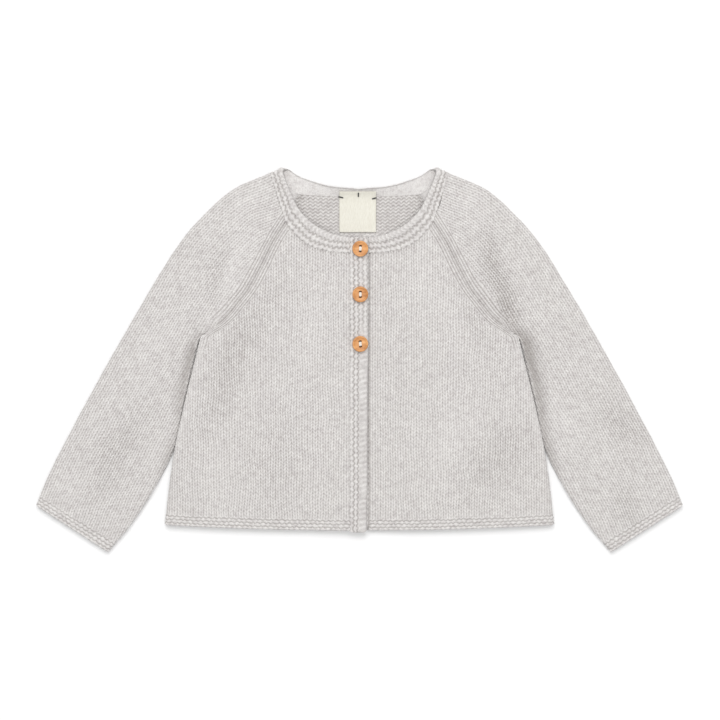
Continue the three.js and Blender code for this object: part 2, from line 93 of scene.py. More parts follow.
# Stitches: a wale is a column and a course a row
WALE = 3.75
COURSE = 2.4
LEG_RISE = 0.8  # how many courses the legs of a stitch climb
VALLEY_PLACES = [0, 1 / 3, 2 / 3, 1]  # from the middle of a stitch to its edge
VALLEY_DEPTHS = [0.85, 0.05, 0.05, 1]
STITCH_HIGH = 0.8
KNIT_SINK = 0.22  # lays the middle of the knit's relief on the cloth's own level
GARTER_HIGH = 1.0
PURL_HIGH = 0.85
RIB_HIGH = 1.0
HEM_BAND = 8.4
HEM_RIDGE = 2.4
BAND_RIDGE = 3.1
COLUMNS = 6  # points across a wale
ROWS = 4  # points along a course

UPPER_BAND = {"left": -7.1, "right": 6.3, "bottom": -124.9, "top": 87.9, "high": 7.7}
LOWER_BAND = {"left": -5.6, "right": 7.1, "bottom": -121.5, "top": 86.4, "high": 4.6}
BUTTON = {"radius": 5.7, "thick": 2.4, "rim": 1.1, "dish": 0.5, "hole": 0.8, "apart": 3.5}
BUTTON_X = 0.6
BUTTON_YS = [79.2, 46.4, 10.8]
BUTTON_Z = 8.5
BUTTON_TURNS = [0.024, 0.168, 0.276]
LABEL = {"half_width": 13.3, "thick": 0.7, "x": -1.3}

# Plan outlines of one half
SIDE = table("y x", [
    (-123.5, 140.2),
    (-108.7, 138.6),
    (-92.9, 137.0),
    (-64.1, 133.0),
    (-33.1, 126.4),
    (-8.6, 120.5),
    (15.8, 114.2),
])
FRONT_RAGLAN = table("y x", [
    (15.8, 114.2),
    (22.3, 105.0),
    (31.0, 95.4),
    (41.0, 87.3),
    (49.7, 80.6),
    (67.0, 71.2),
    (84.2, 62.6),
    (99.0, 53.4),
])
BACK_RAGLAN = table("y x", [
    (15.8, 114.2),
    (29.0, 99.0),
    (48.0, 84.5),
    (70.0, 71.0),
    (94.0, 57.8),
    (118.8, 43.8),
])
FRONT_NECK = table("x y", [
    (0.0, 76.2),
    (9.0, 76.3),
    (20.0, 77.0),
    (33.0, 80.2),
    (42.0, 85.8),
    (48.0, 92.2),
    (53.4, 99.2),
])
SLEEVE = table("outX outY inX inY backY outHigh inHigh puff", [
    (233.2, -105.6, 181.4, -139.2, -139.2, 4.9, 4.9, 0.2),
    (224.2, -84.0, 164.3, -118.8, -118.8, 5.0, 5.0, 0.8),
    (210.4, -56.6, 147.6, -92.9, -92.9, 5.0, 5.0, 1.0),
    (195.3, -28.3, 133.4, -64.1, -64.1, 5.0, 4.8, 1.1),
    (180.8, -2.0, 126.8, -33.0, -33.0, 5.0, 4.7, 1.2),
    (168.4, 20.0, 120.8, -8.0, -8.0, 5.2, 4.8, 1.3),
    (156.8, 40.0, 114.2, 15.8, 15.8, 5.4, 6.2, 0.8),
    (145.0, 59.5, 100.5, 26.5, 29.5, 5.6, 6.2, 0.3),
    (131.5, 80.8, 87.3, 41.0, 49.0, 5.8, 6.3, 0.1),
    (115.0, 101.0, 75.5, 59.0, 70.5, 6.0, 6.4, 0.1),
    (92.0, 121.6, 65.8, 78.0, 93.5, 6.0, 6.5, 0.0),
    (64.3, 134.0, 53.4, 99.0, 118.8, 6.0, 6.7, 0.0),
])
UNDERARM_ROW = 6
SLEEVE_TOP = len(SLEEVE) - 1
SLEEVE_FOLD = table("y x depth", [
    (10.0, 119.0, 0.4),
    (35.3, 109.0, 1.3),
    (49.7, 105.5, 1.2),
    (67.7, 103.0, 0.8),
    (89.3, 103.0, 0.2),
])
SLEEVE_FOLD_WIDTH = 6
# Free edge of the neckband. at 0 is the front opening, 1 the front raglan seam, 2 the
# shoulder fold, 3 the back raglan seam and 4 the centre back.
NECK_EDGE = table("at x y z", [
    (0.0, 6.7, 87.7, 6.6),
    (0.25, 16.5, 89.2, 6.6),
    (0.5, 27.5, 93.6, 6.7),
    (0.75, 37.0, 100.3, 6.8),
    (1.0, 44.3, 108.8, 6.9),
    (1.4, 51.0, 123.0, 6.8),
    (1.66, 54.4, 131.6, 6.3),
    (1.8, 55.3, 135.4, 5.4),
    (1.9, 55.7, 137.4, 4.4),
    (2.0, 55.5, 138.4, 3.2),
    (2.1, 54.5, 138.6, 2.0),
    (2.2, 53.2, 138.0, 1.0),
    (2.34, 51.0, 136.6, 0.5),
    (3.0, 41.0, 130.9, 1.6),
    (3.5, 22.0, 125.5, 3.2),
    (4.0, 0.0, 123.6, 3.6),
])
SHOULDER = 2
LABEL_REST = table("y z", [
    (91.4, 2.4),
    (98.0, 2.4),
    (112.0, 2.4),
    (115.2, 2.7),
    (117.8, 3.5),
    (120.4, 5.0),
])
# Soft troughs (negative) and swells that lie across the fronts and the sleeves
CREASES = table("x y turn long wide high", [
    (-92, -2, 65, 78, 12, -0.75),
    (-60, -76, 80, 50, 16, -0.35),
    (-104, -90, 95, 44, 10, 0.35),
    (-34, 24, 74, 52, 12, 0.35),
    (100, -72, 46, 44, 17, -0.6),
    (64, -60, 60, 46, 14, 0.5),
    (52, 44, 116, 50, 12, 0.4),
    (84, 22, 122, 36, 8, -0.4),
    (-104, 58, 77, 30, 5, -0.5),
    (-91, 66, 66, 38, 6, 0.9),
    (-84, 108, 60, 24, 7, 0.6),
    (-152, 6, 60, 44, 9, 0.4),
    (-176, -66, 58, 46, 12, -0.7),
    (-212, -98, 60, 24, 9, 0.5),
    (95, 68, 103, 40, 7.5, -1.1),
    (108, 32, 110, 30, 6.5, -1.5),
    (84, 108, 124, 26, 8, 0.6),
    (146, -46, 118, 36, 9, 0.5),
    (190, -48, 140, 30, 12, -0.7),
    (192, -106, 110, 22, 9, -0.6),
])
# Painted shadow of the body on a sleeve: how dark it lies beside the body and how far from its
# edge, on the wearer's right and left
SIDE_SHADE = table("y deepRight wideRight deepLeft wideLeft", [
    (-90, 0.0, 4.0, 0.0, 4.0),
    (-78, 0.5, 5.0, 0.6, 5.0),
    (-69, 0.75, 6.0, 0.85, 6.6),
    (-52, 0.45, 5.4, 0.7, 8.4),
    (-33, 0.7, 8.2, 0.8, 11.0),
    (-8, 0.95, 8.8, 0.95, 11.6),
    (6, 0.95, 9.0, 1.0, 13.0),
    (15, 0.6, 8.0, 0.9, 12.0),
    (24, 0.0, 6.0, 0.0, 9.0),
])


# Reads a column of some rows at places along another, on a smooth curve through them
def read(rows, along, at, column):
    xs = np.array([row[along] for row in rows], float)
    ys = np.array([row[column] for row in rows], float)
    slopes = np.empty(len(xs))
    slopes[1:-1] = (ys[2:] - ys[:-2]) / (xs[2:] - xs[:-2])
    slopes[0] = (ys[1] - ys[0]) / (xs[1] - xs[0])
    slopes[-1] = (ys[-1] - ys[-2]) / (xs[-1] - xs[-2])
    at = np.asarray(at, float)
    i = np.clip(np.searchsorted(xs, at, side="right") - 1, 0, len(xs) - 2)
    span = xs[i + 1] - xs[i]
    t = np.clip((at - xs[i]) / span, 0, 1)
    value = ys[i] * (1 + 2 * t) * (1 - t) ** 2 + slopes[i] * span * t * (1 - t) ** 2
    value += ys[i + 1] * t * t * (3 - 2 * t) + slopes[i + 1] * span * t * t * (t - 1)
    value += slopes[0] * np.minimum(at - xs[0], 0) + slopes[-1] * np.maximum(at - xs[-1], 0)
    return value


def ease(t):
    t = np.clip(t, 0, 1)
    return t * t * (3 - 2 * t)


# Lengths from the start of a line to each of its points
def lengths_along(line):
    return np.concatenate([[0], np.cumsum(np.linalg.norm(np.diff(line, axis=0), axis=1))])


# 1 at no distance, falling softly to 0 past the width
def falloff(distance, width):
    return np.exp(-((distance / width) ** 2))


def front_edge(y):
    return np.where(y < UNDERARM_Y, read(SIDE, "y", y, "x"), read(FRONT_RAGLAN, "y", y, "x"))


def back_edge(y):
    return np.where(y < UNDERARM_Y, read(SIDE, "y", y, "x"), read(BACK_RAGLAN, "y", y, "x"))


# 1 where the edge is a full fold, 0 where it is a flat seam
def fold_share(y):
    return 1 - ease((y - UNDERARM_Y) / SEAM_RISE)


# How far the ribs beside the raglan show on the front at a level
def rib_share(level):
    return ease((level - UNDERARM_Y + 14) / 10)


def seam_lap(share):
    return SEAM_LAP * (1 - share) + CORNER_LAP * 4 * share * (1 - share)


def hem_shift(x, level):
    return HEM_LIFT * (x / HEM_LIFT_X) ** 2 * (1 - ease((level - HEM_Y) / HEM_FADE))


def front_high(side, x, y):
    near = 1 - ease((x - FRONT_EDGE) / OVERLAP_FADE)
    across = np.clip((front_edge(y) - x) / (front_edge(y) - FRONT_EDGE), 0, 1)
    lap = OVER_RISE if side < 0 else -UNDER_DIP
    return SIDE_HIGH + FRONT_LOFT * np.sin(np.pi * across) + near * lap


# How far a point at a length run from a folded end lies from that end, and below the face
def round_end(run, radius, share):
    sweep = share * np.pi / 2
    left = np.maximum(sweep - run / radius, 0)
    past = np.maximum(run - radius * sweep, 0)
    away = radius * (np.sin(sweep) - np.sin(left)) + past
    return away, radius * (1 - np.cos(left))


def run_to(away, radius, share):
    sweep = share * np.pi / 2
    return away - radius * np.sin(sweep) + radius * sweep


def crease(x, y):
    total = np.zeros(np.shape(x))
    for c in CREASES:
        turn = np.radians(c["turn"])
        along = (x - c["x"]) * np.cos(turn) + (y - c["y"]) * np.sin(turn)
        across = -(x - c["x"]) * np.sin(turn) + (y - c["y"]) * np.cos(turn)
        across = across + 0.12 * along * np.sin(along / c["long"] * 2.1)
        total += c["high"] * np.exp(-((along / c["long"]) ** 2) * 2 - (across / c["wide"]) ** 2)
    return total


# Painted shade and light of the creases: how much darker a trough is, and how much lighter a swell
def crease_light(x, y):
    high = crease(x, y)
    return TROUGH_SHADE * np.minimum(high, 0) + SWELL_LIGHT * np.maximum(high, 0)


# How dark the painted shadow of the body is on a sleeve, run being the length from its folded edge
def side_shade(side, y, run):
    deep, wide = ("deepRight", "wideRight") if side < 0 else ("deepLeft", "wideLeft")
    width = np.maximum(read(SIDE_SHADE, "y", y, wide), 3)
    near = np.exp(-((np.maximum(run, 0) / width) ** 3))
    strength = np.clip(read(SIDE_SHADE, "y", y, deep), 0, 1)
    in_reach = (y > SIDE_SHADE[0]["y"]) & (y < SIDE_SHADE[-1]["y"])
    return strength * in_reach * near * (1 - 0.9 * falloff(run, 3.0))


# Relief of the stitches, from 0 in the valleys to 1 on the crests


def wave(t):
    return 0.5 + 0.5 * np.cos(2 * np.pi * t)


def from_centre(wale):
    return np.abs(wale - np.floor(wale) - 0.5) * 2


# An uneven value from 0 to 1 for each pair of whole numbers, such as a stitch's wale and course
def chance(i, j, seed):
    turn = np.sin(np.floor(i) * 12.9898 + np.floor(j) * 78.233 + seed * 37.719) * 43758.5453
    return turn - np.floor(turn)


def plain_knit(wale, course):
    out = from_centre(wale)
    rise = course - LEG_RISE * out
    valley = np.interp(out, VALLEY_PLACES, VALLEY_DEPTHS)
    gap = 1 - wave(rise) ** 0.75
    deep = valley * (0.6 + 0.4 * gap) + 0.33 * (1 - valley) * gap
    return (1 - deep) * (0.84 + 0.16 * chance(2 * wale, rise + 0.5, 1))


def purl_knit(wale, course):
    bend = course + 0.27 * np.cos(2 * np.pi * wale)
    uneven_loops = 0.85 + 0.15 * chance(2 * wale, bend + 0.5, 2)
    return wave(bend) ** 0.8 * (0.75 + 0.25 * wave(2 * wale)) * uneven_loops


# Garter: across counts ridges and along counts stitches. Its valleys are zigzag lines.
def garter_knit(across, along):
    lane = np.round(across)
    stray = 0.11 * np.sin(2.3 * along + 2.1 * lane) + 0.07 * np.sin(5.1 * along + 4.7 * lane)
    along = along + stray
    sway = (0.2 + 0.06 * np.sin(3.7 * along + lane)) * (1 - 0.5 * np.abs(across - lane))
    bend = across + sway * np.cos(2 * np.pi * (along + 0.5 * lane))
    loops = 0.72 + 0.28 * wave(2 * along + 0.35 * (across - lane) + 0.2)
    return wave(bend - 0.5) ** 0.7 * loops * (0.76 + 0.24 * chance(2 * along, across, 3))


# How light the yarn is painted for a relief, with painted shade in its valleys and painted light on
# its crests, 0.5 where it has its usual height
def shade(tone, usual):
    slope = np.where(tone < usual, 0.5 / usual, 0.5 / (1 - usual))
    return np.clip(0.5 + (tone - usual) * slope, 0, 1)


USUAL = {"knit": 0.72, "garter": 0.5, "rib": 0.4, "purl": 0.45, "edge": 0.72, "roll": 0.68}


def rolled(edge, radius):
    inside = np.clip(edge / radius, 0, 1)
    return radius * (1 - np.sqrt(1 - (1 - inside) ** 2))


# Meshes from rows of points. Each row has sorted keys, and neighbouring rows are joined
# where their keys agree, with fans of triangles where one row has more points.
def zip_rows(keys, starts):
    faces = []
    for a, b, a0, b0 in zip(keys[:-1], keys[1:], starts[:-1], starts[1:]):
        in_a, in_b = set(a), set(b)
        i = j = 0
        while i < len(a) - 1 or j < len(b) - 1:
            more_a, more_b = i < len(a) - 1, j < len(b) - 1
            if more_a and more_b and a[i + 1] == b[j + 1]:
                faces.append((a0 + i, a0 + i + 1, b0 + j + 1))
                faces.append((a0 + i, b0 + j + 1, b0 + j))
                i, j = i + 1, j + 1
            elif more_a and (not more_b or a[i + 1] < b[j + 1] or a[i + 1] not in in_b):
                faces.append((a0 + i, a0 + i + 1, b0 + j))
                i += 1
            else:
                faces.append((a0 + i, b0 + j + 1, b0 + j))
                j += 1
    return faces


def row_starts(keys):
    return np.concatenate([[0], np.cumsum([len(k) for k in keys])])[:-1]


# The four sides of a zipped face as lists of point numbers
def sides_of(keys):
    starts = row_starts(keys)
    ends = starts + np.array([len(k) for k in keys]) - 1
    first = list(range(starts[0], ends[0] + 1))
    last = list(range(starts[-1], ends[-1] + 1))
    return [first, [int(e) for e in ends], last, [int(s) for s in starts]]


# Joins two lines of points by the length run along each
def join_lines(points, a, b):
    def lengths(line):
        d = lengths_along(points[line])
        return d / max(d[-1], 1e-9)

    la, lb = lengths(a), lengths(b)
    faces = []
    i = j = 0
    while i < len(a) - 1 or j < len(b) - 1:
        if j == len(b) - 1 or (i < len(a) - 1 and la[i + 1] <= lb[j + 1]):
            faces.append((a[i], a[i + 1], b[j]))
            i += 1
        else:
            faces.append((a[i], b[j + 1], b[j]))
            j += 1
    return faces


def point_normals(points, faces):
    tri = np.asarray(faces)
    face = np.cross(points[tri[:, 1]] - points[tri[:, 0]], points[tri[:, 2]] - points[tri[:, 0]])
    normals = np.zeros_like(points)
    for k in range(3):
        np.add.at(normals, tri[:, k], face)
    return normals / np.maximum(np.linalg.norm(normals, axis=1, keepdims=True), 1e-12)


class Face:
    """One face of a shell: base points, keys by row and what the relief needs at each point."""

    def __init__(self, points, keys, up, **facts):
        self.points = points
        self.keys = keys
        self.faces = zip_rows(keys, row_starts(keys))
        self.normals = point_normals(points, self.faces)
        if up(self.points, self.normals) < 0:
            self.normals = -self.normals
        self.facts = facts


SURFACES = []  # outer faces and their normals, for the loose fibres


# Points and faces of a closed body between an outer and an inner face
def closed(top, outer, low, inner):
    points = np.vstack([top, low])
    shift = len(top)
    faces = list(outer.faces) + [(a + shift, b + shift, c + shift) for a, b, c in inner.faces]
    for a, b in zip(sides_of(outer.keys), sides_of(inner.keys)):
        faces += join_lines(points, a, [k + shift for k in b])
    return points, faces


# A knitted shell: the outer face with its relief, the inner face moved in, and the rims.
# relief is in millimetres and tone, from 0 to 1, is the painted shade and light for the material,
# darkest in the valleys.
def shell(name, outer, inner, relief, tone, inner_relief=0, inner_tone=0.5):
    top = outer.points + outer.normals * np.asarray(relief)[..., None]
    SURFACES.append((top, outer.normals))
    low = inner.points - inner.normals * (WALL - np.asarray(inner_relief))[..., None]
    points, faces = closed(top, outer, low, inner)
    tones = [np.broadcast_to(tone, len(top)), np.broadcast_to(inner_tone, len(low))]
    return make_mesh(name, points, faces, np.concatenate(tones), WOOL)


def add_object(name, data):
    added = bpy.data.objects.new(name, data)
    bpy.context.collection.objects.link(added)
    return added


def smooth(mesh):
    mesh.polygons.foreach_set("use_smooth", np.ones(len(mesh.polygons), bool))


# Puts a working mesh's content into a mesh
def write_back(work, mesh):
    work.to_mesh(mesh)
    work.free()


NO_AREA = 1e-13
NO_LENGTH = 1e-6


# Takes out faces without area and turns all faces outward
def mend(mesh):
    work = bmesh.new()
    work.from_mesh(mesh)
    if any(face.calc_area() < NO_AREA for face in work.faces):
        bmesh.ops.dissolve_degenerate(work, dist=NO_LENGTH, edges=work.edges)
    bmesh.ops.recalc_face_normals(work, faces=work.faces)
    write_back(work, mesh)


def make_mesh(name, points, faces, tones=None, material=None, solid=True):
    mesh = bpy.data.meshes.new(name)
    mesh.from_pydata((np.asarray(points) / 1000).tolist(), [], [tuple(map(int, f)) for f in faces])
    if tones is not None:
        tone = mesh.attributes.new("tone", "FLOAT", "POINT")
        tone.data.foreach_set("value", np.asarray(tones, np.float32))
    if solid:
        mend(mesh)
    smooth(mesh)
    mesh.update()
    piece = add_object(name, mesh)
    mesh.materials.append(material)
    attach(piece, BODY)
    return piece


# Materials


def object_place(nodes):
    return nodes.new("ShaderNodeTexCoord").outputs["Object"]


def new_material(name, roughness, sheen=0.0, specular=0.3):
    material = bpy.data.materials.new(name)
    material.use_nodes = True
    shader = material.node_tree.nodes["Principled BSDF"]
    shader.inputs["Roughness"].default_value = roughness
    shader.inputs["Specular IOR Level"].default_value = specular
    shader.inputs["Sheen Weight"].default_value = sheen
    shader.inputs["Sheen Roughness"].default_value = 0.6
    return material, material.node_tree.nodes, material.node_tree.links, shader


def noise(nodes, links, where, scale, detail=3.0, stretch=(1, 1, 1)):
    mapping = nodes.new("ShaderNodeMapping")
    mapping.inputs["Scale"].default_value = stretch
    links.new(where, mapping.inputs["Vector"])
    texture = nodes.new("ShaderNodeTexNoise")
    texture.inputs["Scale"].default_value = scale
    texture.inputs["Detail"].default_value = detail
    links.new(mapping.outputs["Vector"], texture.inputs["Vector"])
    return texture.outputs["Fac"]


def ramp(nodes, links, value, stops):
    node = nodes.new("ShaderNodeValToRGB")
    elements = node.color_ramp.elements
    while len(elements) < len(stops):
        elements.new(0.5)
    for element, (place, colour) in zip(elements, stops):
        element.position = place
        element.color = (*colour, 1)
    links.new(value, node.inputs["Fac"])
    return node.outputs["Color"]


def multiply(nodes, links, a, b):
    node = nodes.new("ShaderNodeMix")
    node.data_type = "RGBA"
    node.blend_type = "MULTIPLY"
    node.inputs["Factor"].default_value = 1.0
    links.new(a, node.inputs["A"])
    links.new(b, node.inputs["B"])
    return node.outputs["Result"]


def bump(nodes, links, height, distance, strength, under=None):
    node = nodes.new("ShaderNodeBump")
    node.inputs["Distance"].default_value = distance
    node.inputs["Strength"].default_value = strength
    links.new(height, node.inputs["Height"])
    if under:
        links.new(under, node.inputs["Normal"])
    return node.outputs["Normal"]


# Wool colours from painted shade at tone 0 to painted light at tone 1
SHADE_STOPS = [
    (0.0, (0.40, 0.375, 0.355)),
    (0.25, (0.60, 0.577, 0.560)),
    (0.6, (0.775, 0.753, 0.735)),
    (1.0, (0.84, 0.82, 0.80)),
]
CLOUD_STOPS = [(0.3, (0.93, 0.922, 0.93)), (0.7, (1.02, 1.02, 1.02))]
HEATHER_STOPS = [(0.34, (0.84, 0.825, 0.825)), (0.52, (0.97, 0.97, 0.965)), (0.7, (1.0, 1.0, 1.0))]
FIBRE_STOPS = [(0.34, (0.82, 0.82, 0.82)), (0.6, (1.0, 1.0, 1.0))]


def wool_material():
    material, nodes, links, shader = new_material("heathered_wool", 0.95, sheen=0.25, specular=0.15)
    where = object_place(nodes)
    # The tone attribute carries painted shade and light: darker in stitch valleys, seams, creases
    # and beside the body, lighter on crests, folds and swells
    tone = nodes.new("ShaderNodeAttribute")
    tone.attribute_name = "tone"
    valleys = ramp(nodes, links, tone.outputs["Fac"], SHADE_STOPS)
    clouds = ramp(nodes, links, noise(nodes, links, where, 190, 3), CLOUD_STOPS)
    heather = ramp(nodes, links, noise(nodes, links, where, 420, 4), HEATHER_STOPS)
    fibres = ramp(nodes, links, noise(nodes, links, where, 2600, 3), FIBRE_STOPS)
    colour = multiply(nodes, links, valleys, clouds)
    colour = multiply(nodes, links, colour, heather)
    colour = multiply(nodes, links, colour, fibres)
    links.new(colour, shader.inputs["Base Color"])
    strands = bump(nodes, links, noise(nodes, links, where, 1500, 4, (1, 0.45, 1)), 0.0004, 0.5)
    lint = bump(nodes, links, noise(nodes, links, where, 5200, 2), 0.00012, 0.4, strands)
    links.new(lint, shader.inputs["Normal"])
    return material


WOOL = wool_material()


# Body


EDGE_KEY = 100000
ZONE_KEYS = np.arange(26)


def stitch_columns(low, high):
    step = WALE / COLUMNS
    return np.arange(int(np.ceil(low / step + 0.35)), int(np.floor(high / step - 0.35)) + 1)


def zone_runs(total, fine=True):
    places = ZONE_KEYS if fine else ZONE_KEYS[[0, 8, 17, 25]]
    return min(RIB_ZONE + 1.2, 0.9 * total) * (1 - places / ZONE_KEYS[-1])


def zone_keys(zone):
    return (EDGE_KEY + (ZONE_KEYS if len(zone) > 4 else ZONE_KEYS[[0, 8, 17, 25]])).tolist()


# How far the cloth dips towards a flat seam
def near_seam(run, share):
    return falloff(run, SEAM_WIDE) * (1 - share)


# A smooth uneven field between about -1 and 1, with waves of a size
def uneven(x, y, size, seed):
    field = np.random.default_rng(seed).uniform(0, 2 * np.pi, (6, 3))
    total = np.zeros(np.shape(x))
    for a, b, c in field:
        slanting = np.sin(x / size * np.cos(a) + y / size * np.sin(a) + b)
        total += slanting * np.sin(y / size * 0.7 + c)
    return total / 6


# How far the stitches stray from straight lines, in millimetres
def drift(x, y, seed):
    wide = 1.3 * uneven(x, y, 9, seed) + 0.8 * uneven(x, y, 3.5, seed + 20)
    high = 1.1 * uneven(x, y, 9, seed + 40) + 0.6 * uneven(x, y, 3.5, seed + 60)
    return wide, high


# Rows of one front in the knit: from the opening or the neck seam out to the side edge
def front_face(side, course_step, column_step, fine):
    top = float(read(FRONT_NECK, "x", 53.0, "y"))
    levels = np.append(np.arange(HEM_Y, top, COURSE * course_step), top)
    keys, xs, ys, runs, edges, widths = [], [], [], [], [], []
    step = WALE / COLUMNS
    seam_xs = np.linspace(FRONT_EDGE, 53.4, 400)
    seam_ys = read(FRONT_NECK, "x", seam_xs, "y")
    for level in levels:
        x0 = float(np.interp(level, seam_ys, seam_xs))
        share = float(fold_share(level))
        edge = float(front_edge(level)) + seam_lap(share)
        total = run_to(edge - x0, FOLD_RADIUS, share)
        zone = zone_runs(total, fine)
        zone_away, _ = round_end(zone, FOLD_RADIUS, share)
        inner = stitch_columns(x0, edge - zone_away[0])
        inner = inner[inner % column_step == 0]
        away = np.concatenate([[edge - x0], edge - inner * step, zone_away])
        run = run_to(away, FOLD_RADIUS, share)
        run[-len(zone):] = zone
        keys.append([-1, *inner.tolist(), *zone_keys(zone)])
        xs.append(edge - away)
        ys.append(np.full(len(away), level))
        runs.append(run)
        edges.append(edge - away - x0)
        widths.append(run_to(edge, FOLD_RADIUS, share) - run)
    x, level, run, opening, width = (np.concatenate(v) for v in (xs, ys, runs, edges, widths))
    _, drop = round_end(run, FOLD_RADIUS, fold_share(level))
    out = from_centre(width / WALE) if fine else 0 * x
    plain = np.maximum(ease((run - RIB_ZONE) / 2), 1 - rib_share(level))
    in_knit = ease((level - HEM_Y - HEM_BAND) / COURSE) * plain * ease(opening / 2)
    legs = LEG_RISE * COURSE * out * in_knit * ease((top - 2 - level) / 4)
    x = x + (front_edge(level + legs) - front_edge(level)) * (1 - ease((run - 2) / 6))
    inland = ease(run / 12) * ease(opening / 14) * ease((level - HEM_Y) / 12)
    drift_x, drift_y = drift(x, level, 11 + side)
    place_y = level + legs + hem_shift(x, level) + drift_y * inland
    x = x + drift_x * inland
    z = front_high(side, x, level) - drop
    z = z + crease(side * x, place_y) * ease(run / 12) * ease(opening / 14)
    points = np.column_stack([side * x, place_y, z])

    def up(p, n):
        return np.median(n[:, 2])

    facts = {"x": x, "width": width, "level": level, "legs": legs, "run": run, "opening": opening}
    return Face(points, keys, up, **facts)


# Height from 0 to 1, full height in millimetres and painted shade of a knitted panel. hem is the
# length from its hem, run the length from its seam and ribs how far the ribs show.
def knit_relief(wale, course, hem, run, ribs):
    knit = plain_knit(wale, course)
    band = garter_knit(hem / HEM_RIDGE + 0.12, wale)
    twist = wave(course - LEG_RISE * from_centre(run / RIB_PITCH / 2)) ** 0.8
    cord = wave(run / RIB_PITCH - 0.5) ** 0.9 * (0.45 + 0.55 * twist)
    in_band = 1 - ease((hem - HEM_BAND + 0.5) / 0.6)
    in_ribs = ribs * (1 - ease((run - RIB_ZONE) / 1.0)) * (1 - in_band)
    in_knit = (1 - in_band) * (1 - in_ribs)
    tone = (knit - KNIT_SINK) * in_knit + band * in_band + cord * in_ribs
    high = STITCH_HIGH * in_knit + GARTER_HIGH * in_band + RIB_HIGH * in_ribs
    light = shade(knit, USUAL["knit"]) * in_knit + shade(band, USUAL["garter"]) * in_band
    return tone, high, light + (0.06 + 0.88 * shade(cord, USUAL["rib"])) * in_ribs


# Painted shadow of the neckband: the fronts are darker where they run under it
def neck_shade(x, level):
    below = read(FRONT_NECK, "x", np.minimum(x, 54.0), "y") - level
    return 0.6 * falloff(below, 1.9) * (x < 53)


# Painted light and shade of a front: light along its folded side, dark under the neckband and the
# upper band
def front_light(side, f, share, light):
    side_fold = share * falloff(f["run"] - 4.5, 2.5) * (1 - ease((-40 - f["level"]) / 50))
    light = light + 0.25 * (0.7 - light) * side_fold
    beside = share * falloff(f["run"], 2.2) * ease((f["level"] + 84) / 10)
    light = light + 0.6 * (0.9 - light) * beside + crease_light(side * f["x"], f["level"])
    light = light * (1 - neck_shade(f["x"], f["level"]))
    if side > 0:
        light = light * (1 - 0.6 * falloff(f["x"] - UPPER_BAND["right"], 1.4))
    return light


def make_front(side, name, node):
    outer = front_face(side, 1 / ROWS, 1, True)
    inner = front_face(side, 4, 6, False)
    f = outer.facts
    share = fold_share(f["level"])
    tone, high, light = knit_relief(
        f["width"] / WALE,
        (f["level"] + f["legs"] - HEM_Y) / COURSE,
        f["level"] - HEM_Y,
        f["run"],
        rib_share(f["level"]),
    )
    seam = near_seam(f["run"], share)
    relief = (tone - 0.35) * high * ease(f["opening"] / 0.8 + 0.3) * (1 - 0.7 * seam)
    relief = relief - SEAM_DEEP * seam - rolled(f["level"] - HEM_Y, 0.8)
    # Painted shade in the raglan seam
    light = light * (1 - seam) + SEAM_SHADE * seam
    piece = shell(name, outer, inner, relief, front_light(side, f, share, light))
    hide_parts(node)
    return piece


front_right = make_front(-1, "knit_front_right", "front_right")
front_left = make_front(1, "knit_front_left", "front_left")


# Painted shade that darkens the inside of the back
INSIDE_SHADE = 0.72
INSIDE_Y = 72.0  # above it the inside of the back shows and is knitted finely
INSIDE_X = 62
NO_RIBS = 50  # a length from the seam past all ribs


def neck_dip(x, level):
    top = ease((level - UNDERARM_Y) / (BACK_NECK_Y - UNDERARM_Y))
    return BACK_NECK_DIP * top * (1 - (x / back_edge(level)) ** 2)


# Rows of the back from one side edge to the other. dense gives the rows that carry all
# columns, and others carry every skip-th one.
def back_face(levels, skip, dense):
    keys, xs, ys, runs = [], [], [], []
    step = WALE / COLUMNS
    for level in levels:
        edge, share = float(back_edge(level)), float(fold_share(level))
        near_neck = bool(dense(level))
        zone = zone_runs(run_to(edge, FOLD_RADIUS, share), near_neck)
        zone_away, _ = round_end(zone, FOLD_RADIUS, share)
        inner = stitch_columns(0, edge - zone_away[0])
        fine = (inner * step < INSIDE_X) & near_neck
        inner = inner[(inner % skip == 0) | fine]
        half = [*inner.tolist(), *zone_keys(zone)]
        x = np.concatenate([inner * step, edge - zone_away])
        run = np.concatenate([run_to(edge - inner * step, FOLD_RADIUS, share), zone])
        keys.append([-k for k in reversed(half)] + [0] + half)
        xs.append(np.concatenate([-x[::-1], [0], x]))
        runs.append(np.concatenate([run[::-1], [run_to(edge, FOLD_RADIUS, share)], run]))
        ys.append(np.full(2 * len(x) + 1, level))
    x, level, run = (np.concatenate(v) for v in (xs, ys, runs))
    _, drop = round_end(run, FOLD_RADIUS, fold_share(level))
    y = level + hem_shift(x, level) - neck_dip(x, level)

    def up(p, n):
        return -np.median(n[:, 2])

    return Face(np.column_stack([x, y, drop]), keys, up, x=x, level=level, run=run)


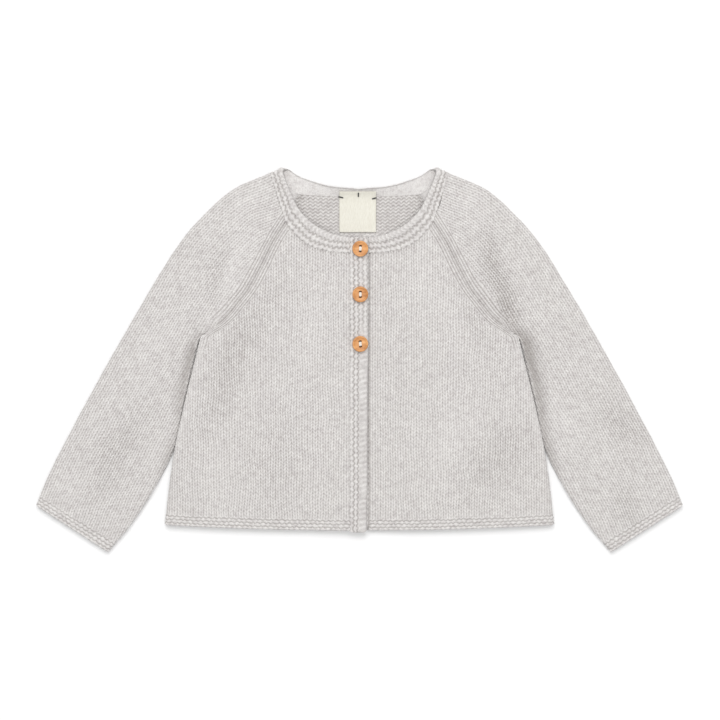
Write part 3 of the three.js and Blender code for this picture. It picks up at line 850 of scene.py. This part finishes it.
def make_back():
    rows = np.arange(HEM_Y, BACK_NECK_Y, COURSE / 2)
    outer = back_face(np.append(rows, BACK_NECK_Y), 2, lambda level: False)
    fine_rows = np.arange(INSIDE_Y, BACK_NECK_Y, COURSE / ROWS)
    coarse_rows = np.arange(HEM_Y, INSIDE_Y, 4 * COURSE)
    inner_rows = np.concatenate([coarse_rows, fine_rows, [BACK_NECK_Y]])
    inner = back_face(inner_rows, 6, lambda level: level > INSIDE_Y - 0.1)
    f = outer.facts
    hem = f["level"] - HEM_Y
    tone, high, light = knit_relief(f["x"] / WALE, f["level"] / COURSE, hem, NO_RIBS + f["run"], 0)
    relief = (tone - 1) * high - rolled(hem, 1.0)
    g = inner.facts
    seen = ease((g["level"] - INSIDE_Y) / 3) * ease((INSIDE_X - np.abs(g["x"])) / 4)
    ridge = falloff(g["run"] - 2.2, 1.3) * (0.6 + 0.4 * wave(g["level"] / COURSE))
    wobble = 0.12 * uneven(g["x"], g["level"], 8, 4)
    purl = purl_knit(g["x"] / WALE + wobble, g["level"] / COURSE + wobble)
    # Painted shade of the inside of the back, darker towards the raglan seams, and painted light
    # low down near the front neckline
    inside = INSIDE_SHADE * shade(purl, USUAL["purl"]) * (1 - 0.4 * falloff(g["run"], 5))
    inside = inside + 0.45 * (0.9 - inside) * ease((96 - g["level"]) / 6)
    piece = shell(
        "knit_back", outer, inner, relief, light,
        inner_relief=((purl - 0.3) * PURL_HIGH + 0.8 * ridge) * seen,
        inner_tone=0.5 + (inside - 0.5) * seen,
    )
    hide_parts("back")
    return piece


back = make_back()


# Sleeves


def unit(v):
    return v / np.linalg.norm(v, axis=-1, keepdims=True)


SLEEVE_SINK = 1.6  # how far the sleeve sinks where it lies against the body


def beside_body(y, run, share):
    width = 4.5 + 3.5 * ease((y + 60) / 60)
    return falloff(run, width) * share * ease((y + 92) / 14)


TABLE = [{**row, "row": k} for k, row in enumerate(SLEEVE)]


# Where a layer of the sleeve ends: on the body's edge where it is sewn, else beside it
def inner_end(edge, x, y, sewn):
    return np.stack([np.where(sewn, edge, np.maximum(x, edge + CLEAR_OF_BODY)), y], -1)


def sleeve_section(t):
    c = {name: read(TABLE, "row", t, name) for name in SLEEVE[0]}
    sewn = t > UNDERARM_ROW
    out = np.stack([c["outX"], c["outY"]], -1)
    front = inner_end(front_edge(c["inY"]), c["inX"], c["inY"], sewn)
    rear = inner_end(back_edge(c["backY"]), c["inX"], c["backY"], sewn)
    share = np.where(sewn, fold_share(c["inY"]), 1.0)
    out_r, in_r = c["outHigh"] / 2, (c["inHigh"] - SEAM) / 2
    front = front + unit(front - out) * seam_lap(share)[..., None]
    front_lay = run_to(np.linalg.norm(front - out, axis=-1) - out_r, in_r, share)
    back_lay = run_to(np.linalg.norm(rear - out, axis=-1) - out_r, in_r, share)
    return {**c, "out": out, "front": front, "rear": rear, "share": share, "out_r": out_r,
            "in_r": in_r, "front_lay": front_lay, "back_lay": back_lay}


def sleeve_fold(x, y):
    depth = np.maximum(read(SLEEVE_FOLD, "y", y, "depth"), 0)
    inside = ease((y - SLEEVE_FOLD[0]["y"] + 8) / 8) * ease((SLEEVE_FOLD[-1]["y"] + 8 - y) / 8)
    return depth * inside * falloff(x - read(SLEEVE_FOLD, "y", y, "x"), SLEEVE_FOLD_WIDTH)


# Points of the sleeve's outer face. around is the length from the middle of the shoulder
# fold, positive on the front layer and negative on the back one.
def sleeve_points(t, around):
    s = sleeve_section(t)
    half = s["out_r"] * np.pi / 2
    to_front, to_rear = unit(s["front"] - s["out"]), unit(s["rear"] - s["out"])
    front_run = s["front_lay"] + half - around
    away, drop = round_end(np.maximum(front_run, 0), s["in_r"], s["share"])
    share = away / np.linalg.norm(s["front"] - s["out"], axis=-1)
    flat = s["front"] - to_front * away[..., None]
    puff = s["puff"] * np.sin(np.pi * np.clip(share, 0, 1))
    high = s["inHigh"] + (s["outHigh"] - s["inHigh"]) * share + puff
    front = np.column_stack([flat, high - drop - sleeve_fold(flat[:, 0], flat[:, 1]) * (1 - share)])
    turn = np.clip((half - around) / s["out_r"], 0, np.pi)
    along = unit(to_front * (1 - turn / np.pi)[:, None] + to_rear * (turn / np.pi)[:, None])
    folded = s["out"] + along * (s["out_r"] * (1 - np.sin(turn)))[:, None]
    fold = np.column_stack([folded, s["out_r"] * (1 + np.cos(turn))])
    back_run = s["back_lay"] + half + around
    away, drop = round_end(np.maximum(back_run, 0), s["in_r"], s["share"])
    rear = np.column_stack([s["rear"] - to_rear * away[..., None], drop])
    points = np.where((around < -half)[:, None], rear, fold)
    points = np.where((around > half)[:, None], front, points)
    sink = SLEEVE_SINK * beside_body(points[:, 1], front_run, s["share"])
    points[:, 2] -= sink * (t < SLEEVE_TOP - 3)
    return points, front_run, s


def sleeve_ribs(t, y):
    return ease((y - UNDERARM_Y - 4) / 16) * (t > UNDERARM_ROW)


def sleeve_courses():
    ts = np.linspace(0, SLEEVE_TOP, 600)
    s = sleeve_section(ts)
    return ts, lengths_along((s["out"] + s["front"]) / 2)


def sleeve_face(course_step, front_skip, rear_skip, fine):
    ts, lengths = sleeve_courses()
    places = np.append(np.arange(0, lengths[-1] - 0.2, COURSE * course_step), lengths[-1])
    rows_t = np.interp(places, lengths, ts)
    step = WALE / COLUMNS
    keys, arounds, row_ts, along = [], [], [], []
    for t, place in zip(rows_t, places):
        s = sleeve_section(np.array([t]))
        half = float(s["out_r"][0]) * np.pi / 2
        reach, rear = float(s["front_lay"][0]) + half, float(s["back_lay"][0]) + half
        front_zone = reach - zone_runs(reach, fine)
        rear_zone = rear - zone_runs(rear, False)
        columns = stitch_columns(-rear_zone[0], front_zone[0])
        keep = np.where(columns * step > -half, columns % front_skip == 0, columns % rear_skip == 0)
        columns = columns[keep]
        rear_keys = [-k for k in reversed(zone_keys(rear_zone))]
        keys.append([*rear_keys, *columns.tolist(), *zone_keys(front_zone)])
        around = np.concatenate([-rear_zone[::-1], columns * step, front_zone])
        arounds.append(around)
        row_ts.append(np.full(len(around), t))
        along.append(np.full(len(around), place))
    around, t, place = (np.concatenate(v) for v in (arounds, row_ts, along))
    points, front_run, s = sleeve_points(t, around)
    front_side = ease((around + s["out_r"]) / 2)
    legs = 0 * around
    if fine:
        clear = ease((place - HEM_BAND) / COURSE) * ease((lengths[-1] - place - 2) / 4)
        plain = np.maximum(ease((front_run - RIB_ZONE) / 2), 1 - sleeve_ribs(t, points[:, 1]))
        legs = LEG_RISE * COURSE * from_centre(around / WALE) * clear * plain * front_side
        moved = np.interp(place + legs, lengths, ts)
        shifted = sleeve_points(moved, around)[0]
        points = np.where((legs > 0.01)[:, None], shifted, points)
    facts = {
        "around": around, "t": t, "place": place, "legs": legs, "run": front_run,
        "share": s["share"], "front_side": front_side, "out_r": s["out_r"],
        "x": points[:, 0], "y": points[:, 1],
    }
    return points, keys, facts


def make_sleeve(side, name, node):
    def build(*how):
        points, keys, facts = sleeve_face(*how)
        swell = crease(side * facts["x"], facts["y"]) * facts["front_side"]
        inland = ease(facts["run"] / 12) * ease((facts["around"] + 4) / 14)
        loose = inland * facts["front_side"] * ease(facts["place"] / 12)
        drift_x, drift_y = drift(facts["x"], facts["y"], 13 + side)
        moves = np.column_stack([drift_x * loose, drift_y * loose, swell * inland])
        points = points * [side, 1, 1] + moves

        def up(p, n):
            return np.median(n[facts["around"] > 20][:, 2])

        return Face(points, keys, up, **facts)

    outer, inner = build(1 / ROWS, 1, 3, True), build(4, 6, 12, False)
    f = outer.facts
    tone, high, light = knit_relief(
        f["around"] / WALE,
        (f["place"] + f["legs"]) / COURSE,
        f["place"],
        f["run"],
        sleeve_ribs(f["t"], f["y"]),
    )
    seam = near_seam(f["run"], f["share"])
    facing_up = ease((f["around"] + 2 * f["out_r"]) / (3 * f["out_r"]))
    relief = (tone - 1 + 0.65 * facing_up) * high * (1 - 0.7 * seam)
    relief = relief - SEAM_DEEP * seam - rolled(f["place"], 0.8)
    # Painted shade in the seam and troughs, painted light on swells, and the body's painted shadow
    # beside it
    light = light * (1 - seam) + SEAM_SHADE * seam
    light = light + crease_light(side * f["x"], f["y"]) * f["front_side"]
    light = light * (1 - side_shade(side, f["y"], f["run"]))
    piece = shell(name, outer, inner, relief, light)
    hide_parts(node)
    return piece


sleeve_right = make_sleeve(-1, "knit_sleeve_right", "sleeve_right")
sleeve_left = make_sleeve(1, "knit_sleeve_left", "sleeve_left")


# Neckband


NECK_LAP = 0.4  # how far the neckband runs over the edge that it is sewn to


# The seam edge of one half of the neckband, from the front opening to the centre back
def neck_seam(side):
    rail = []
    front_xs = [FRONT_EDGE + 0.1, 14, 20, 26, 32, 37, 42, 46, 49.5, 52]
    for k, x in enumerate(front_xs):
        y, onward = (float(read(FRONT_NECK, "x", v, "y")) for v in (x, x + 1))
        lean = unit(np.array([onward - y, -1.0]))
        high = float(front_high(side, x, y))
        place = np.array([x, y]) + NECK_LAP * lean
        rail.append((k / len(front_xs), *place, high, 0.0, 0.0, 1.0))
    s = sleeve_section(np.array([float(SLEEVE_TOP)]))
    half = float(s["out_r"][0]) * np.pi / 2
    front_lay, back_lay = float(s["front_lay"][0]), float(s["back_lay"][0])
    front_part = half + np.linspace(front_lay - 2, 0, 6)
    back_part = -half - np.linspace(0, back_lay - 2, 4)
    around = np.concatenate([front_part, np.linspace(half, -half, 8)[1:], back_part[1:]])
    tops = np.full(len(around), float(SLEEVE_TOP))
    here, before = sleeve_points(tops, around)[0], sleeve_points(tops - 0.01, around)[0]
    onward = unit(here - before)
    turning = unit(sleeve_points(tops, around + 0.05)[0] - sleeve_points(tops, around - 0.05)[0])
    normal = unit(np.cross(onward, turning))
    normal = normal * np.sign(normal[0, 2])
    away = unit(np.cross(turning, normal))
    away = away * np.sign(np.sum(away * onward, axis=1))[:, None]
    front_share = (half + front_lay - np.maximum(around, half)) / front_lay
    fold_part = np.clip((half - around) / (2 * half), 0, 1)
    back_share = (-half - np.minimum(around, -half)) / back_lay
    for p, n, w, part in zip(here, normal, away, (front_share + fold_part + back_share) / 3):
        rail.append((1 + 2 * part, *(p - NECK_LAP * w), *n))
    for x in [42, 34, 26, 17.5, 9, 0]:
        y = BACK_NECK_Y - float(neck_dip(x, BACK_NECK_Y)) - 0.2
        rail.append((4 - x / 44, x, y, 0.0, 0.0, 0.0, -1.0))
    return table("at x y z nx ny nz", rail)


NECK_STEP = 0.6
NECK_ACROSS = 30
NECK_RIDGES = 3.15


def neck_half(side):
    rail = neck_seam(side)
    probe = np.linspace(0, 4, 2000)
    line = np.column_stack([read(rail, "at", probe, c) for c in "xyz"])
    lengths = lengths_along(line)
    along = np.linspace(0, lengths[-1], int(lengths[-1] / NECK_STEP))
    at = np.interp(along, lengths, probe)
    seam = np.column_stack([read(rail, "at", at, c) for c in "xyz"])
    normal = unit(np.column_stack([read(rail, "at", at, c) for c in ("nx", "ny", "nz")]))
    free = np.column_stack([read(NECK_EDGE, "at", at, c) for c in "xyz"])
    overlap = front_high(side, free[:, 0], 85.0) - front_high(1, 60.0, 85.0)
    free[:, 2] += 0.9 * overlap * (1 - ease((at - 0.75) / 0.25))
    mirror = np.array([side, 1, 1])
    return at, along, seam * mirror, normal * mirror, free * mirror


def make_neckband():
    right, left = neck_half(-1), neck_half(1)
    at, seam, normal, free = (
        np.concatenate([right[k], left[k][::-1][1:]]) for k in (0, 2, 3, 4)
    )
    along = np.concatenate([right[1], 2 * right[1][-1] - left[1][::-1][1:]])
    shares = np.linspace(0, 1, NECK_ACROSS + 1)
    grid = seam[:, None] + (free - seam)[:, None] * shares[None, :, None]
    width = np.linalg.norm(free - seam, axis=1)[:, None]
    own = unit(np.cross(np.gradient(grid, axis=0), np.gradient(grid, axis=1)))
    own = own * np.where(np.sum(own * normal[:, None], axis=2) < 0, -1, 1)[..., None]
    past_shoulder = (np.abs(at - SHOULDER) / 0.8)[:, None]
    blend = np.minimum(np.minimum(1, 2 * shares)[None, :], past_shoulder)[..., None]
    normals = unit(normal[:, None] * (1 - blend) + own * blend)
    from_seam = shares[None, :] * width
    run = np.broadcast_to(along[:, None], from_seam.shape)
    facing_up = ease((normals[..., 2] + 0.5) / 1.0)
    wobble = 0.12 * uneven(run, from_seam, 8, 6)
    ridges = shares[None, :] * NECK_RIDGES + 0.05 + 0.8 * wobble
    smooth_edge = ease((ridges - 2.15) / 0.25)
    edge_knit = 0.5 + 0.42 * wave(run / WALE + 0.7 * np.abs(shares[None, :] - 0.85) * 4 + wobble)
    knit = garter_knit(ridges, run / WALE + wobble)
    tone = knit * (1 - smooth_edge) + edge_knit * smooth_edge
    light = shade(knit, USUAL["garter"]) * (1 - smooth_edge)
    light = light + shade(edge_knit, USUAL["edge"]) * smooth_edge
    light = 0.45 + 0.82 * (light - 0.5)
    # Painted light along the free edge of the neckband behind the shoulders
    behind = ease((at - SHOULDER) / 0.3)[:, None]
    light = light + (1.2 - light) * falloff(width - from_seam, 1.2) * behind
    relief = (tone - 1 + 0.7 * facing_up) * GARTER_HIGH
    relief = relief - rolled(width - from_seam, 1.3) - rolled(from_seam, 0.4)
    inner_tone = 0.45 + 0.4 * plain_knit(run / WALE, ridges * 1.6) + 0.1 * wobble
    inner_relief = (inner_tone - 0.6) * GARTER_HIGH * (1 - facing_up)
    inner_relief = inner_relief - rolled(width - from_seam, 1.1)
    # Painted shade inside the neckband at the shoulder fold, and painted light near its free edge
    # elsewhere
    at_fold = falloff(at - SHOULDER - 0.15, 0.45)[:, None]
    inner_shade = 0.36 * at_fold - 0.02 - 0.15 * ease((from_seam - width + 2.5) / 2) * (1 - at_fold)
    keys = [list(range(NECK_ACROSS + 1))] * len(at)
    outer = Face(grid.reshape(-1, 3), keys, lambda p, n: 1)
    outer.normals = normals.reshape(-1, 3)
    piece = shell(
        "knit_neckband", outer, outer, relief.ravel(), light.ravel(),
        inner_relief=inner_relief.ravel(), inner_tone=(inner_tone - inner_shade).ravel(),
    )
    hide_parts("neckband")
    return piece


neckband = make_neckband()


# Front bands


def grid_points(x, y, z):
    return np.column_stack([x.ravel(), y.ravel(), z.ravel()])


BAND_LEAN = 0.008  # how far the free edge of the upper band leans over its length
BAND_STEP = 0.58


def make_band(name, node, band, smooth_width, left_roll, lean):
    wide, long = band["right"] - band["left"], band["top"] - band["bottom"]
    xs = np.linspace(band["left"], band["right"], int(wide / BAND_STEP * 1.3) + 1)
    ys = np.linspace(band["bottom"], band["top"], int(long / BAND_STEP) + 1)

    def build(xs, ys):
        x, y = np.meshgrid(xs, ys)
        sway = 0.25 * np.sin(y / 17) + 0.15 * np.sin(y / 7.3 + 1)
        corner = np.exp(-np.minimum(x - xs[0], xs[-1] - x) / 1.2)
        y = y - corner * 1.6 * (np.exp(-(ys[-1] - y) / 2) - np.exp(-(y - ys[0]) / 2))
        z = band["high"] + 0.25 * np.sin(y / 23 + 0.6) + 0.12 * np.sin(y / 9 + x / 5)
        leaning = x + sway * 0.6 + lean * y * (x - xs[0]) / (xs[-1] - xs[0])
        points = grid_points(leaning, y, z)
        keys = [list(range(len(xs)))] * len(ys)
        return Face(points, keys, lambda p, n: np.median(n[:, 2]), x=x.ravel(), y=y.ravel())

    outer = build(xs, ys)
    inner = build(xs[[0, len(xs) // 2, -1]], np.linspace(ys[0], ys[-1], 24))
    x, y = outer.facts["x"], outer.facts["y"]
    from_left, from_right = x - band["left"], band["right"] - x
    wobble = 0.12 * uneven(x, y, 7, 8)
    garter = garter_knit(from_left / BAND_RIDGE + wobble, y / WALE + wobble)
    roll = 0.5 + 0.3 * wave(y / WALE + from_right / 14 + wobble) - 0.12 * chance(y / WALE, 0 * y, 9)
    strip = 1 - ease((from_right - smooth_width) / 0.8)
    strip = strip * (1 - 0.75 * ease((y - 10) / 20) * (smooth_width > 1))
    tone = garter * (1 - strip) + roll * strip
    light = shade(garter, USUAL["garter"]) * (1 - strip) + shade(roll, USUAL["roll"]) * strip
    # Painted shade along the band's rolled right edge
    light = light * (1 - 0.5 * falloff(from_right, 0.8))
    swell = strip * 0.35 * np.sin(np.pi * np.clip(from_right / smooth_width, 0, 1))
    relief = (tone - 0.35) * GARTER_HIGH * (1 - 0.5 * strip) + swell
    relief = relief - rolled(from_left, left_roll) - rolled(from_right, 1.3)
    relief = relief - rolled(y - band["bottom"], 1.2) - rolled(band["top"] - y, 1.2)
    piece = shell(name, outer, inner, relief, light)
    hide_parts(node)
    return piece


buttonhole_band = make_band(
    "knit_buttonhole_band", "buttonhole_band", UPPER_BAND, 6.0, 0.3, BAND_LEAN,
)
button_band = make_band("knit_button_band", "button_band", LOWER_BAND, 0.1, 1.0, 0)


# Loose fibres that stand off the wool


FIBRES = 15000
FIBRE_STEPS = 4


def make_fuzz():
    points = np.vstack([face[0] for face in SURFACES])
    normals = np.vstack([face[1] for face in SURFACES])
    picked = rng.choice(len(points), FIBRES, replace=False)
    root, normal = points[picked], unit(normals[picked])
    aside = unit(np.cross(normal, unit(rng.normal(size=root.shape))))
    bend = np.cross(normal, aside)
    length = rng.uniform(1.6, 4.2, (FIBRES, 1))
    curl = rng.uniform(-0.5, 0.5, (FIBRES, 1))
    lift = rng.uniform(0.15, 0.9, (FIBRES, 1))
    rows = []
    for step in range(FIBRE_STEPS + 1):
        share = step / FIBRE_STEPS
        middle = root + aside * length * share + bend * length * curl * share**2
        middle = middle + normal * (lift * np.sin(np.pi * 0.62 * share) - 0.1)
        width = 0.028 * (1 - 0.5 * share)
        rows += [middle - bend * width, middle + bend * width]
    grid = np.stack(rows, axis=1)
    grid[..., 2] = np.maximum(grid[..., 2], 0.05)
    first = np.arange(FIBRES)[:, None] * len(rows)
    quads = [np.hstack([first + 2 * k, first + 2 * k + 1, first + 2 * k + 3, first + 2 * k + 2])
             for k in range(FIBRE_STEPS)]
    tones = np.repeat(rng.uniform(0.35, 0.95, FIBRES), len(rows))
    return make_mesh("wool_fuzz", grid.reshape(-1, 3), np.vstack(quads), tones, WOOL, solid=False)


wool_fuzz = make_fuzz()


# Label of cream tape, plain, with black stitches that hold it to the neckband


TAPE_STOPS = [(0.3, (0.70, 0.675, 0.59)), (0.7, (0.78, 0.76, 0.68))]


def tape_material():
    material, nodes, links, shader = new_material("cream_tape", 0.75, sheen=0.1)
    where = object_place(nodes)
    weave = ramp(nodes, links, noise(nodes, links, where, 1400, 2, (1, 0.25, 1)), TAPE_STOPS)
    links.new(weave, shader.inputs["Base Color"])
    ribs = nodes.new("ShaderNodeTexWave")
    ribs.bands_direction = "Y"
    ribs.inputs["Scale"].default_value = 700
    ribs.inputs["Distortion"].default_value = 0.6
    links.new(where, ribs.inputs["Vector"])
    links.new(bump(nodes, links, ribs.outputs["Fac"], 0.0001, 0.5), shader.inputs["Normal"])
    return material


def thread_material(name, colour):
    material, nodes, links, shader = new_material(name, 0.7, sheen=0.2)
    where = object_place(nodes)
    dark = tuple(0.7 * c for c in colour)
    fibres = ramp(nodes, links, noise(nodes, links, where, 2500, 2), [(0.3, dark), (0.7, colour)])
    links.new(fibres, shader.inputs["Base Color"])
    twist = nodes.new("ShaderNodeTexWave")
    twist.bands_direction = "DIAGONAL"
    twist.inputs["Scale"].default_value = 1500
    links.new(where, twist.inputs["Vector"])
    links.new(bump(nodes, links, twist.outputs["Fac"], 0.0001, 0.6), shader.inputs["Normal"])
    return material


# A tube round a line of points, closed at both ends
def tube(line, radius, sides=8):
    line = np.asarray(line, float)
    along = unit(np.gradient(line, axis=0))
    helper = np.array([0.0, 0.0, 1.0])
    if np.abs(along @ helper).max() > 0.95:
        helper = np.array([1.0, 0.0, 0.0])
    first = unit(np.cross(along, helper))
    second = np.cross(along, first)
    turns = np.linspace(0, 2 * np.pi, sides, endpoint=False)
    taper = np.ones(len(line))
    taper[[0, -1]] = 0.6
    rings = [p + radius * w * (np.outer(np.cos(turns), a) + np.outer(np.sin(turns), b))
             for p, a, b, w in zip(line, first, second, taper)]
    points = np.vstack(rings + [line[:1], line[-1:]])
    faces = []
    for i in range(len(line) - 1):
        for k in range(sides):
            n = (k + 1) % sides
            faces.append((i * sides + k, i * sides + n, (i + 1) * sides + n, (i + 1) * sides + k))
    last = (len(line) - 1) * sides
    for k in range(sides):
        n = (k + 1) % sides
        faces.append((n, k, len(points) - 2))
        faces.append((last + k, last + n, len(points) - 1))
    return points, faces


def joined(parts):
    points, faces, shift = [], [], 0
    for p, f in parts:
        points.append(p)
        faces += [tuple(k + shift for k in face) for face in f]
        shift += len(p)
    return np.vstack(points), faces


def make_label():
    rows, columns = 60, 40
    ys = np.linspace(LABEL_REST[0]["y"], LABEL_REST[-1]["y"], rows)
    xs = LABEL["x"] + np.linspace(-LABEL["half_width"], LABEL["half_width"], columns)
    x, y = np.meshgrid(xs, ys)
    z = read(LABEL_REST, "y", y, "z") + LABEL["thick"]
    z = z + 0.18 * np.sin(x / 5.5 + 0.4) * ease((118 - y) / 10) + 0.1 * np.sin(y / 4.0)
    edge = np.minimum(x - xs[0], xs[-1] - x)
    keys = [list(range(columns))] * rows
    points = grid_points(x, y, z)
    face = Face(points, keys, lambda p, n: np.median(n[:, 2]))
    selvedge = (0.12 * falloff(edge - 0.9, 0.4) - 0.5 * rolled(edge, 0.4)).ravel()
    top = points + face.normals * selvedge[:, None]
    low = points - face.normals * LABEL["thick"]
    points, faces = closed(top, face, low, face)
    piece = make_mesh("label_tape", points, faces, material=tape_material())
    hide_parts("label")
    return piece


LABEL_STITCHES = table("x y dx dy", [
    (-15.3, 116.9, 3.6, -0.8),
    (-0.9, 116.8, 0.15, 2.9),
    (9.0, 115.3, 3.4, 0.9),
])


def make_label_stitches():
    parts = []
    for s in LABEL_STITCHES:
        share = np.linspace(0, 1, 9)
        x, y = s["x"] + s["dx"] * share, s["y"] + s["dy"] * share
        over = read(LABEL_REST, "y", y, "z") + LABEL["thick"] + 0.1 + 0.35 * np.sin(np.pi * share)
        parts.append(tube(np.column_stack([x, y, over]), 0.46))
    points, faces = joined(parts)
    thread = thread_material("black_thread", (0.03, 0.03, 0.032))
    return make_mesh("label_stitches", points, faces, material=thread)


label = make_label()
label_stitches = make_label_stitches()


# Buttons


WOOD_STOPS = [(0.28, (0.46, 0.18, 0.05)), (0.5, (0.68, 0.31, 0.10)), (0.72, (0.86, 0.46, 0.19))]
FINE_GRAIN_STOPS = [(0.3, (0.82, 0.80, 0.78)), (0.65, (1.0, 1.0, 1.0))]
HOLE_SHADE_STOPS = [(0.3, (0.08, 0.03, 0.012)), (0.7, (0.18, 0.07, 0.03))]


def wood_material():
    material, nodes, links, shader = new_material("button_wood", 0.42, specular=0.45)
    where = object_place(nodes)
    grain = noise(nodes, links, where, 230, 6, (0.5, 1.6, 1))
    fine = noise(nodes, links, where, 1300, 4, (0.35, 2.0, 1))
    broad = ramp(nodes, links, grain, WOOD_STOPS)
    narrow = ramp(nodes, links, fine, FINE_GRAIN_STOPS)
    links.new(multiply(nodes, links, broad, narrow), shader.inputs["Base Color"])
    links.new(bump(nodes, links, fine, 0.00008, 0.5), shader.inputs["Normal"])
    shader.inputs["Coat Weight"].default_value = 0.15
    shader.inputs["Coat Roughness"].default_value = 0.35
    return material


# Painted shade in the button holes: a dark brown on their walls stands for the shade inside them
def hole_shade_material():
    material, nodes, links, shader = new_material("button_hole_shade", 0.8)
    where = object_place(nodes)
    dark = ramp(nodes, links, noise(nodes, links, where, 1500, 3), HOLE_SHADE_STOPS)
    links.new(dark, shader.inputs["Base Color"])
    return material


def button_mesh():
    b = BUTTON
    profile = [
        (0, 0), (b["radius"] - 0.7, 0), (b["radius"] - 0.2, 0.25), (b["radius"], 0.8),
        (b["radius"], b["thick"] - 0.7), (b["radius"] - 0.15, b["thick"] - 0.25),
        (b["radius"] - 0.5, b["thick"]), (b["radius"] - b["rim"], b["thick"] - 0.05),
        (b["radius"] - b["rim"] - 0.35, b["thick"] - b["dish"] * 0.7),
        (b["radius"] - b["rim"] - 0.8, b["thick"] - b["dish"]),
        (2.6, b["thick"] - b["dish"] - 0.05), (0, b["thick"] - b["dish"] - 0.1),
    ]
    mesh = bpy.data.meshes.new("button")
    work = bmesh.new()
    line = [work.verts.new((r, 0, z)) for r, z in profile]
    edges = [work.edges.new(pair) for pair in zip(line[:-1], line[1:])]
    bmesh.ops.spin(
        work, geom=line + edges, axis=(0, 0, 1), cent=(0, 0, 0), steps=64, angle=2 * np.pi,
    )
    bmesh.ops.remove_doubles(work, verts=work.verts, dist=1e-4)
    bmesh.ops.recalc_face_normals(work, faces=work.faces)
    write_back(work, mesh)
    return mesh


def hole_cutter(end):
    work = bmesh.new()
    radius = BUTTON["hole"]
    bmesh.ops.create_cone(work, cap_ends=True, segments=24, radius1=radius, radius2=radius, depth=8)
    bmesh.ops.translate(work, verts=work.verts, vec=(0, end * BUTTON["apart"] / 2, 4.2))
    mesh = bpy.data.meshes.new("hole")
    write_back(work, mesh)
    return add_object("hole", mesh)


# Cuts both holes into a button's mesh
def cut_holes(button):
    holes = [hole_cutter(end) for end in (-1, 1)]
    for hole in holes:
        cut = button.modifiers.new("cut", "BOOLEAN")
        cut.operation = "DIFFERENCE"
        cut.solver = "EXACT"
        cut.object = hole
    bpy.context.view_layer.update()
    cut_button = button.evaluated_get(bpy.context.evaluated_depsgraph_get())
    done = bpy.data.meshes.new_from_object(cut_button)
    button.modifiers.clear()
    button.data = done
    for hole in holes:
        bpy.data.objects.remove(hole)
    return done


def make_button(k, y):
    button = add_object(f"wood_button_{k}", button_mesh())
    mesh = cut_holes(button)
    middle = (BUTTON_X / 1000, y / 1000, BUTTON_Z / 1000)
    turn = Matrix.Rotation(BUTTON_TURNS[k - 1], 3, "Z")
    work = bmesh.new()
    work.from_mesh(mesh)
    bmesh.ops.scale(work, verts=work.verts, vec=(0.001, 0.001, 0.001))
    bmesh.ops.translate(work, verts=work.verts, vec=middle)
    bmesh.ops.rotate(work, verts=work.verts, cent=middle, matrix=turn)
    write_back(work, mesh)
    smooth(mesh)
    mesh.materials.clear()
    mesh.materials.append(WOOD)
    mesh.materials.append(HOLE_SHADE)
    # Faces of the holes' walls take the painted shade
    for face in mesh.polygons:
        x, from_middle = face.center.x * 1000 - BUTTON_X, abs(face.center.y * 1000 - y)
        from_hole = np.hypot(x, from_middle - BUTTON["apart"] / 2)
        face.material_index = int(from_hole < BUTTON["hole"] + 0.12)
    bpy.context.view_layer.objects.active = button
    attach(button, BODY)
    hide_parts(f"button_{k}")
    return button


def make_button_threads():
    parts = []
    top = BUTTON_Z + BUTTON["thick"] - BUTTON["dish"]
    reach = BUTTON["apart"] / 2 - 0.15
    for k, y in enumerate(BUTTON_YS):
        for strand in np.linspace(-1, 1, 5):
            share = np.linspace(-1, 1, 15)
            lift = top + 0.42 - 1.6 * np.abs(share) ** 6 + 0.12 * np.cos(2.4 * strand)
            x = BUTTON_X + 0.78 * strand * (1 - 0.45 * share**2) + 0.05 * np.sin(5 * strand + k)
            parts.append(tube(np.column_stack([x, y + reach * share, lift]), 0.25, 7))
    points, faces = joined(parts)
    thread = thread_material("white_thread", (1.0, 0.94, 0.86))
    return make_mesh("button_threads", points, faces, material=thread)


WOOD = wood_material()
HOLE_SHADE = hole_shade_material()
buttons = [make_button(k + 1, y) for k, y in enumerate(BUTTON_YS)]
button_threads = make_button_threads()


# Floor, light and camera


def stage_floor():
    bpy.ops.mesh.primitive_plane_add(size=6, location=(0, 0, -0.0002))
    floor = bpy.context.object
    floor.name = "floor"
    material, nodes, links, shader = new_material("pale_floor", 0.9, specular=0.1)
    shader.inputs["Base Color"].default_value = (0.93, 0.93, 0.93, 1)
    floor.data.materials.append(material)


def area_light(name, place, size, power):
    lamp = bpy.data.lights.new(name, "AREA")
    lamp.shape = "DISK"
    lamp.size = size
    lamp.energy = power
    light = add_object(name, lamp)
    light.location = place
    light.rotation_euler = Vector(place).to_track_quat("Z", "Y").to_euler()


CAMERA_HIGH = 1.6
FIELD = 0.5184


def add_camera():
    camera = bpy.data.cameras.new("camera")
    camera.sensor_width = 36
    camera.lens = 36 * (CAMERA_HIGH - 0.005) / FIELD
    holder = add_object("camera", camera)
    holder.location = (0.00036, -0.00072, CAMERA_HIGH)
    bpy.context.scene.camera = holder


stage_floor()
area_light("key", (-0.1, 1.1, 2.0), 1.6, 28)
area_light("fill", (0.3, -0.7, 2.2), 2.0, 10)
add_camera()

world = bpy.data.worlds.new("studio")
world.use_nodes = True
world.node_tree.nodes["Background"].inputs["Color"].default_value = (1, 1, 1, 1)
world.node_tree.nodes["Background"].inputs["Strength"].default_value = 0.62
bpy.context.scene.world = world
bpy.context.scene.view_settings.view_transform = "Standard"
bpy.context.scene.view_settings.look = "None"
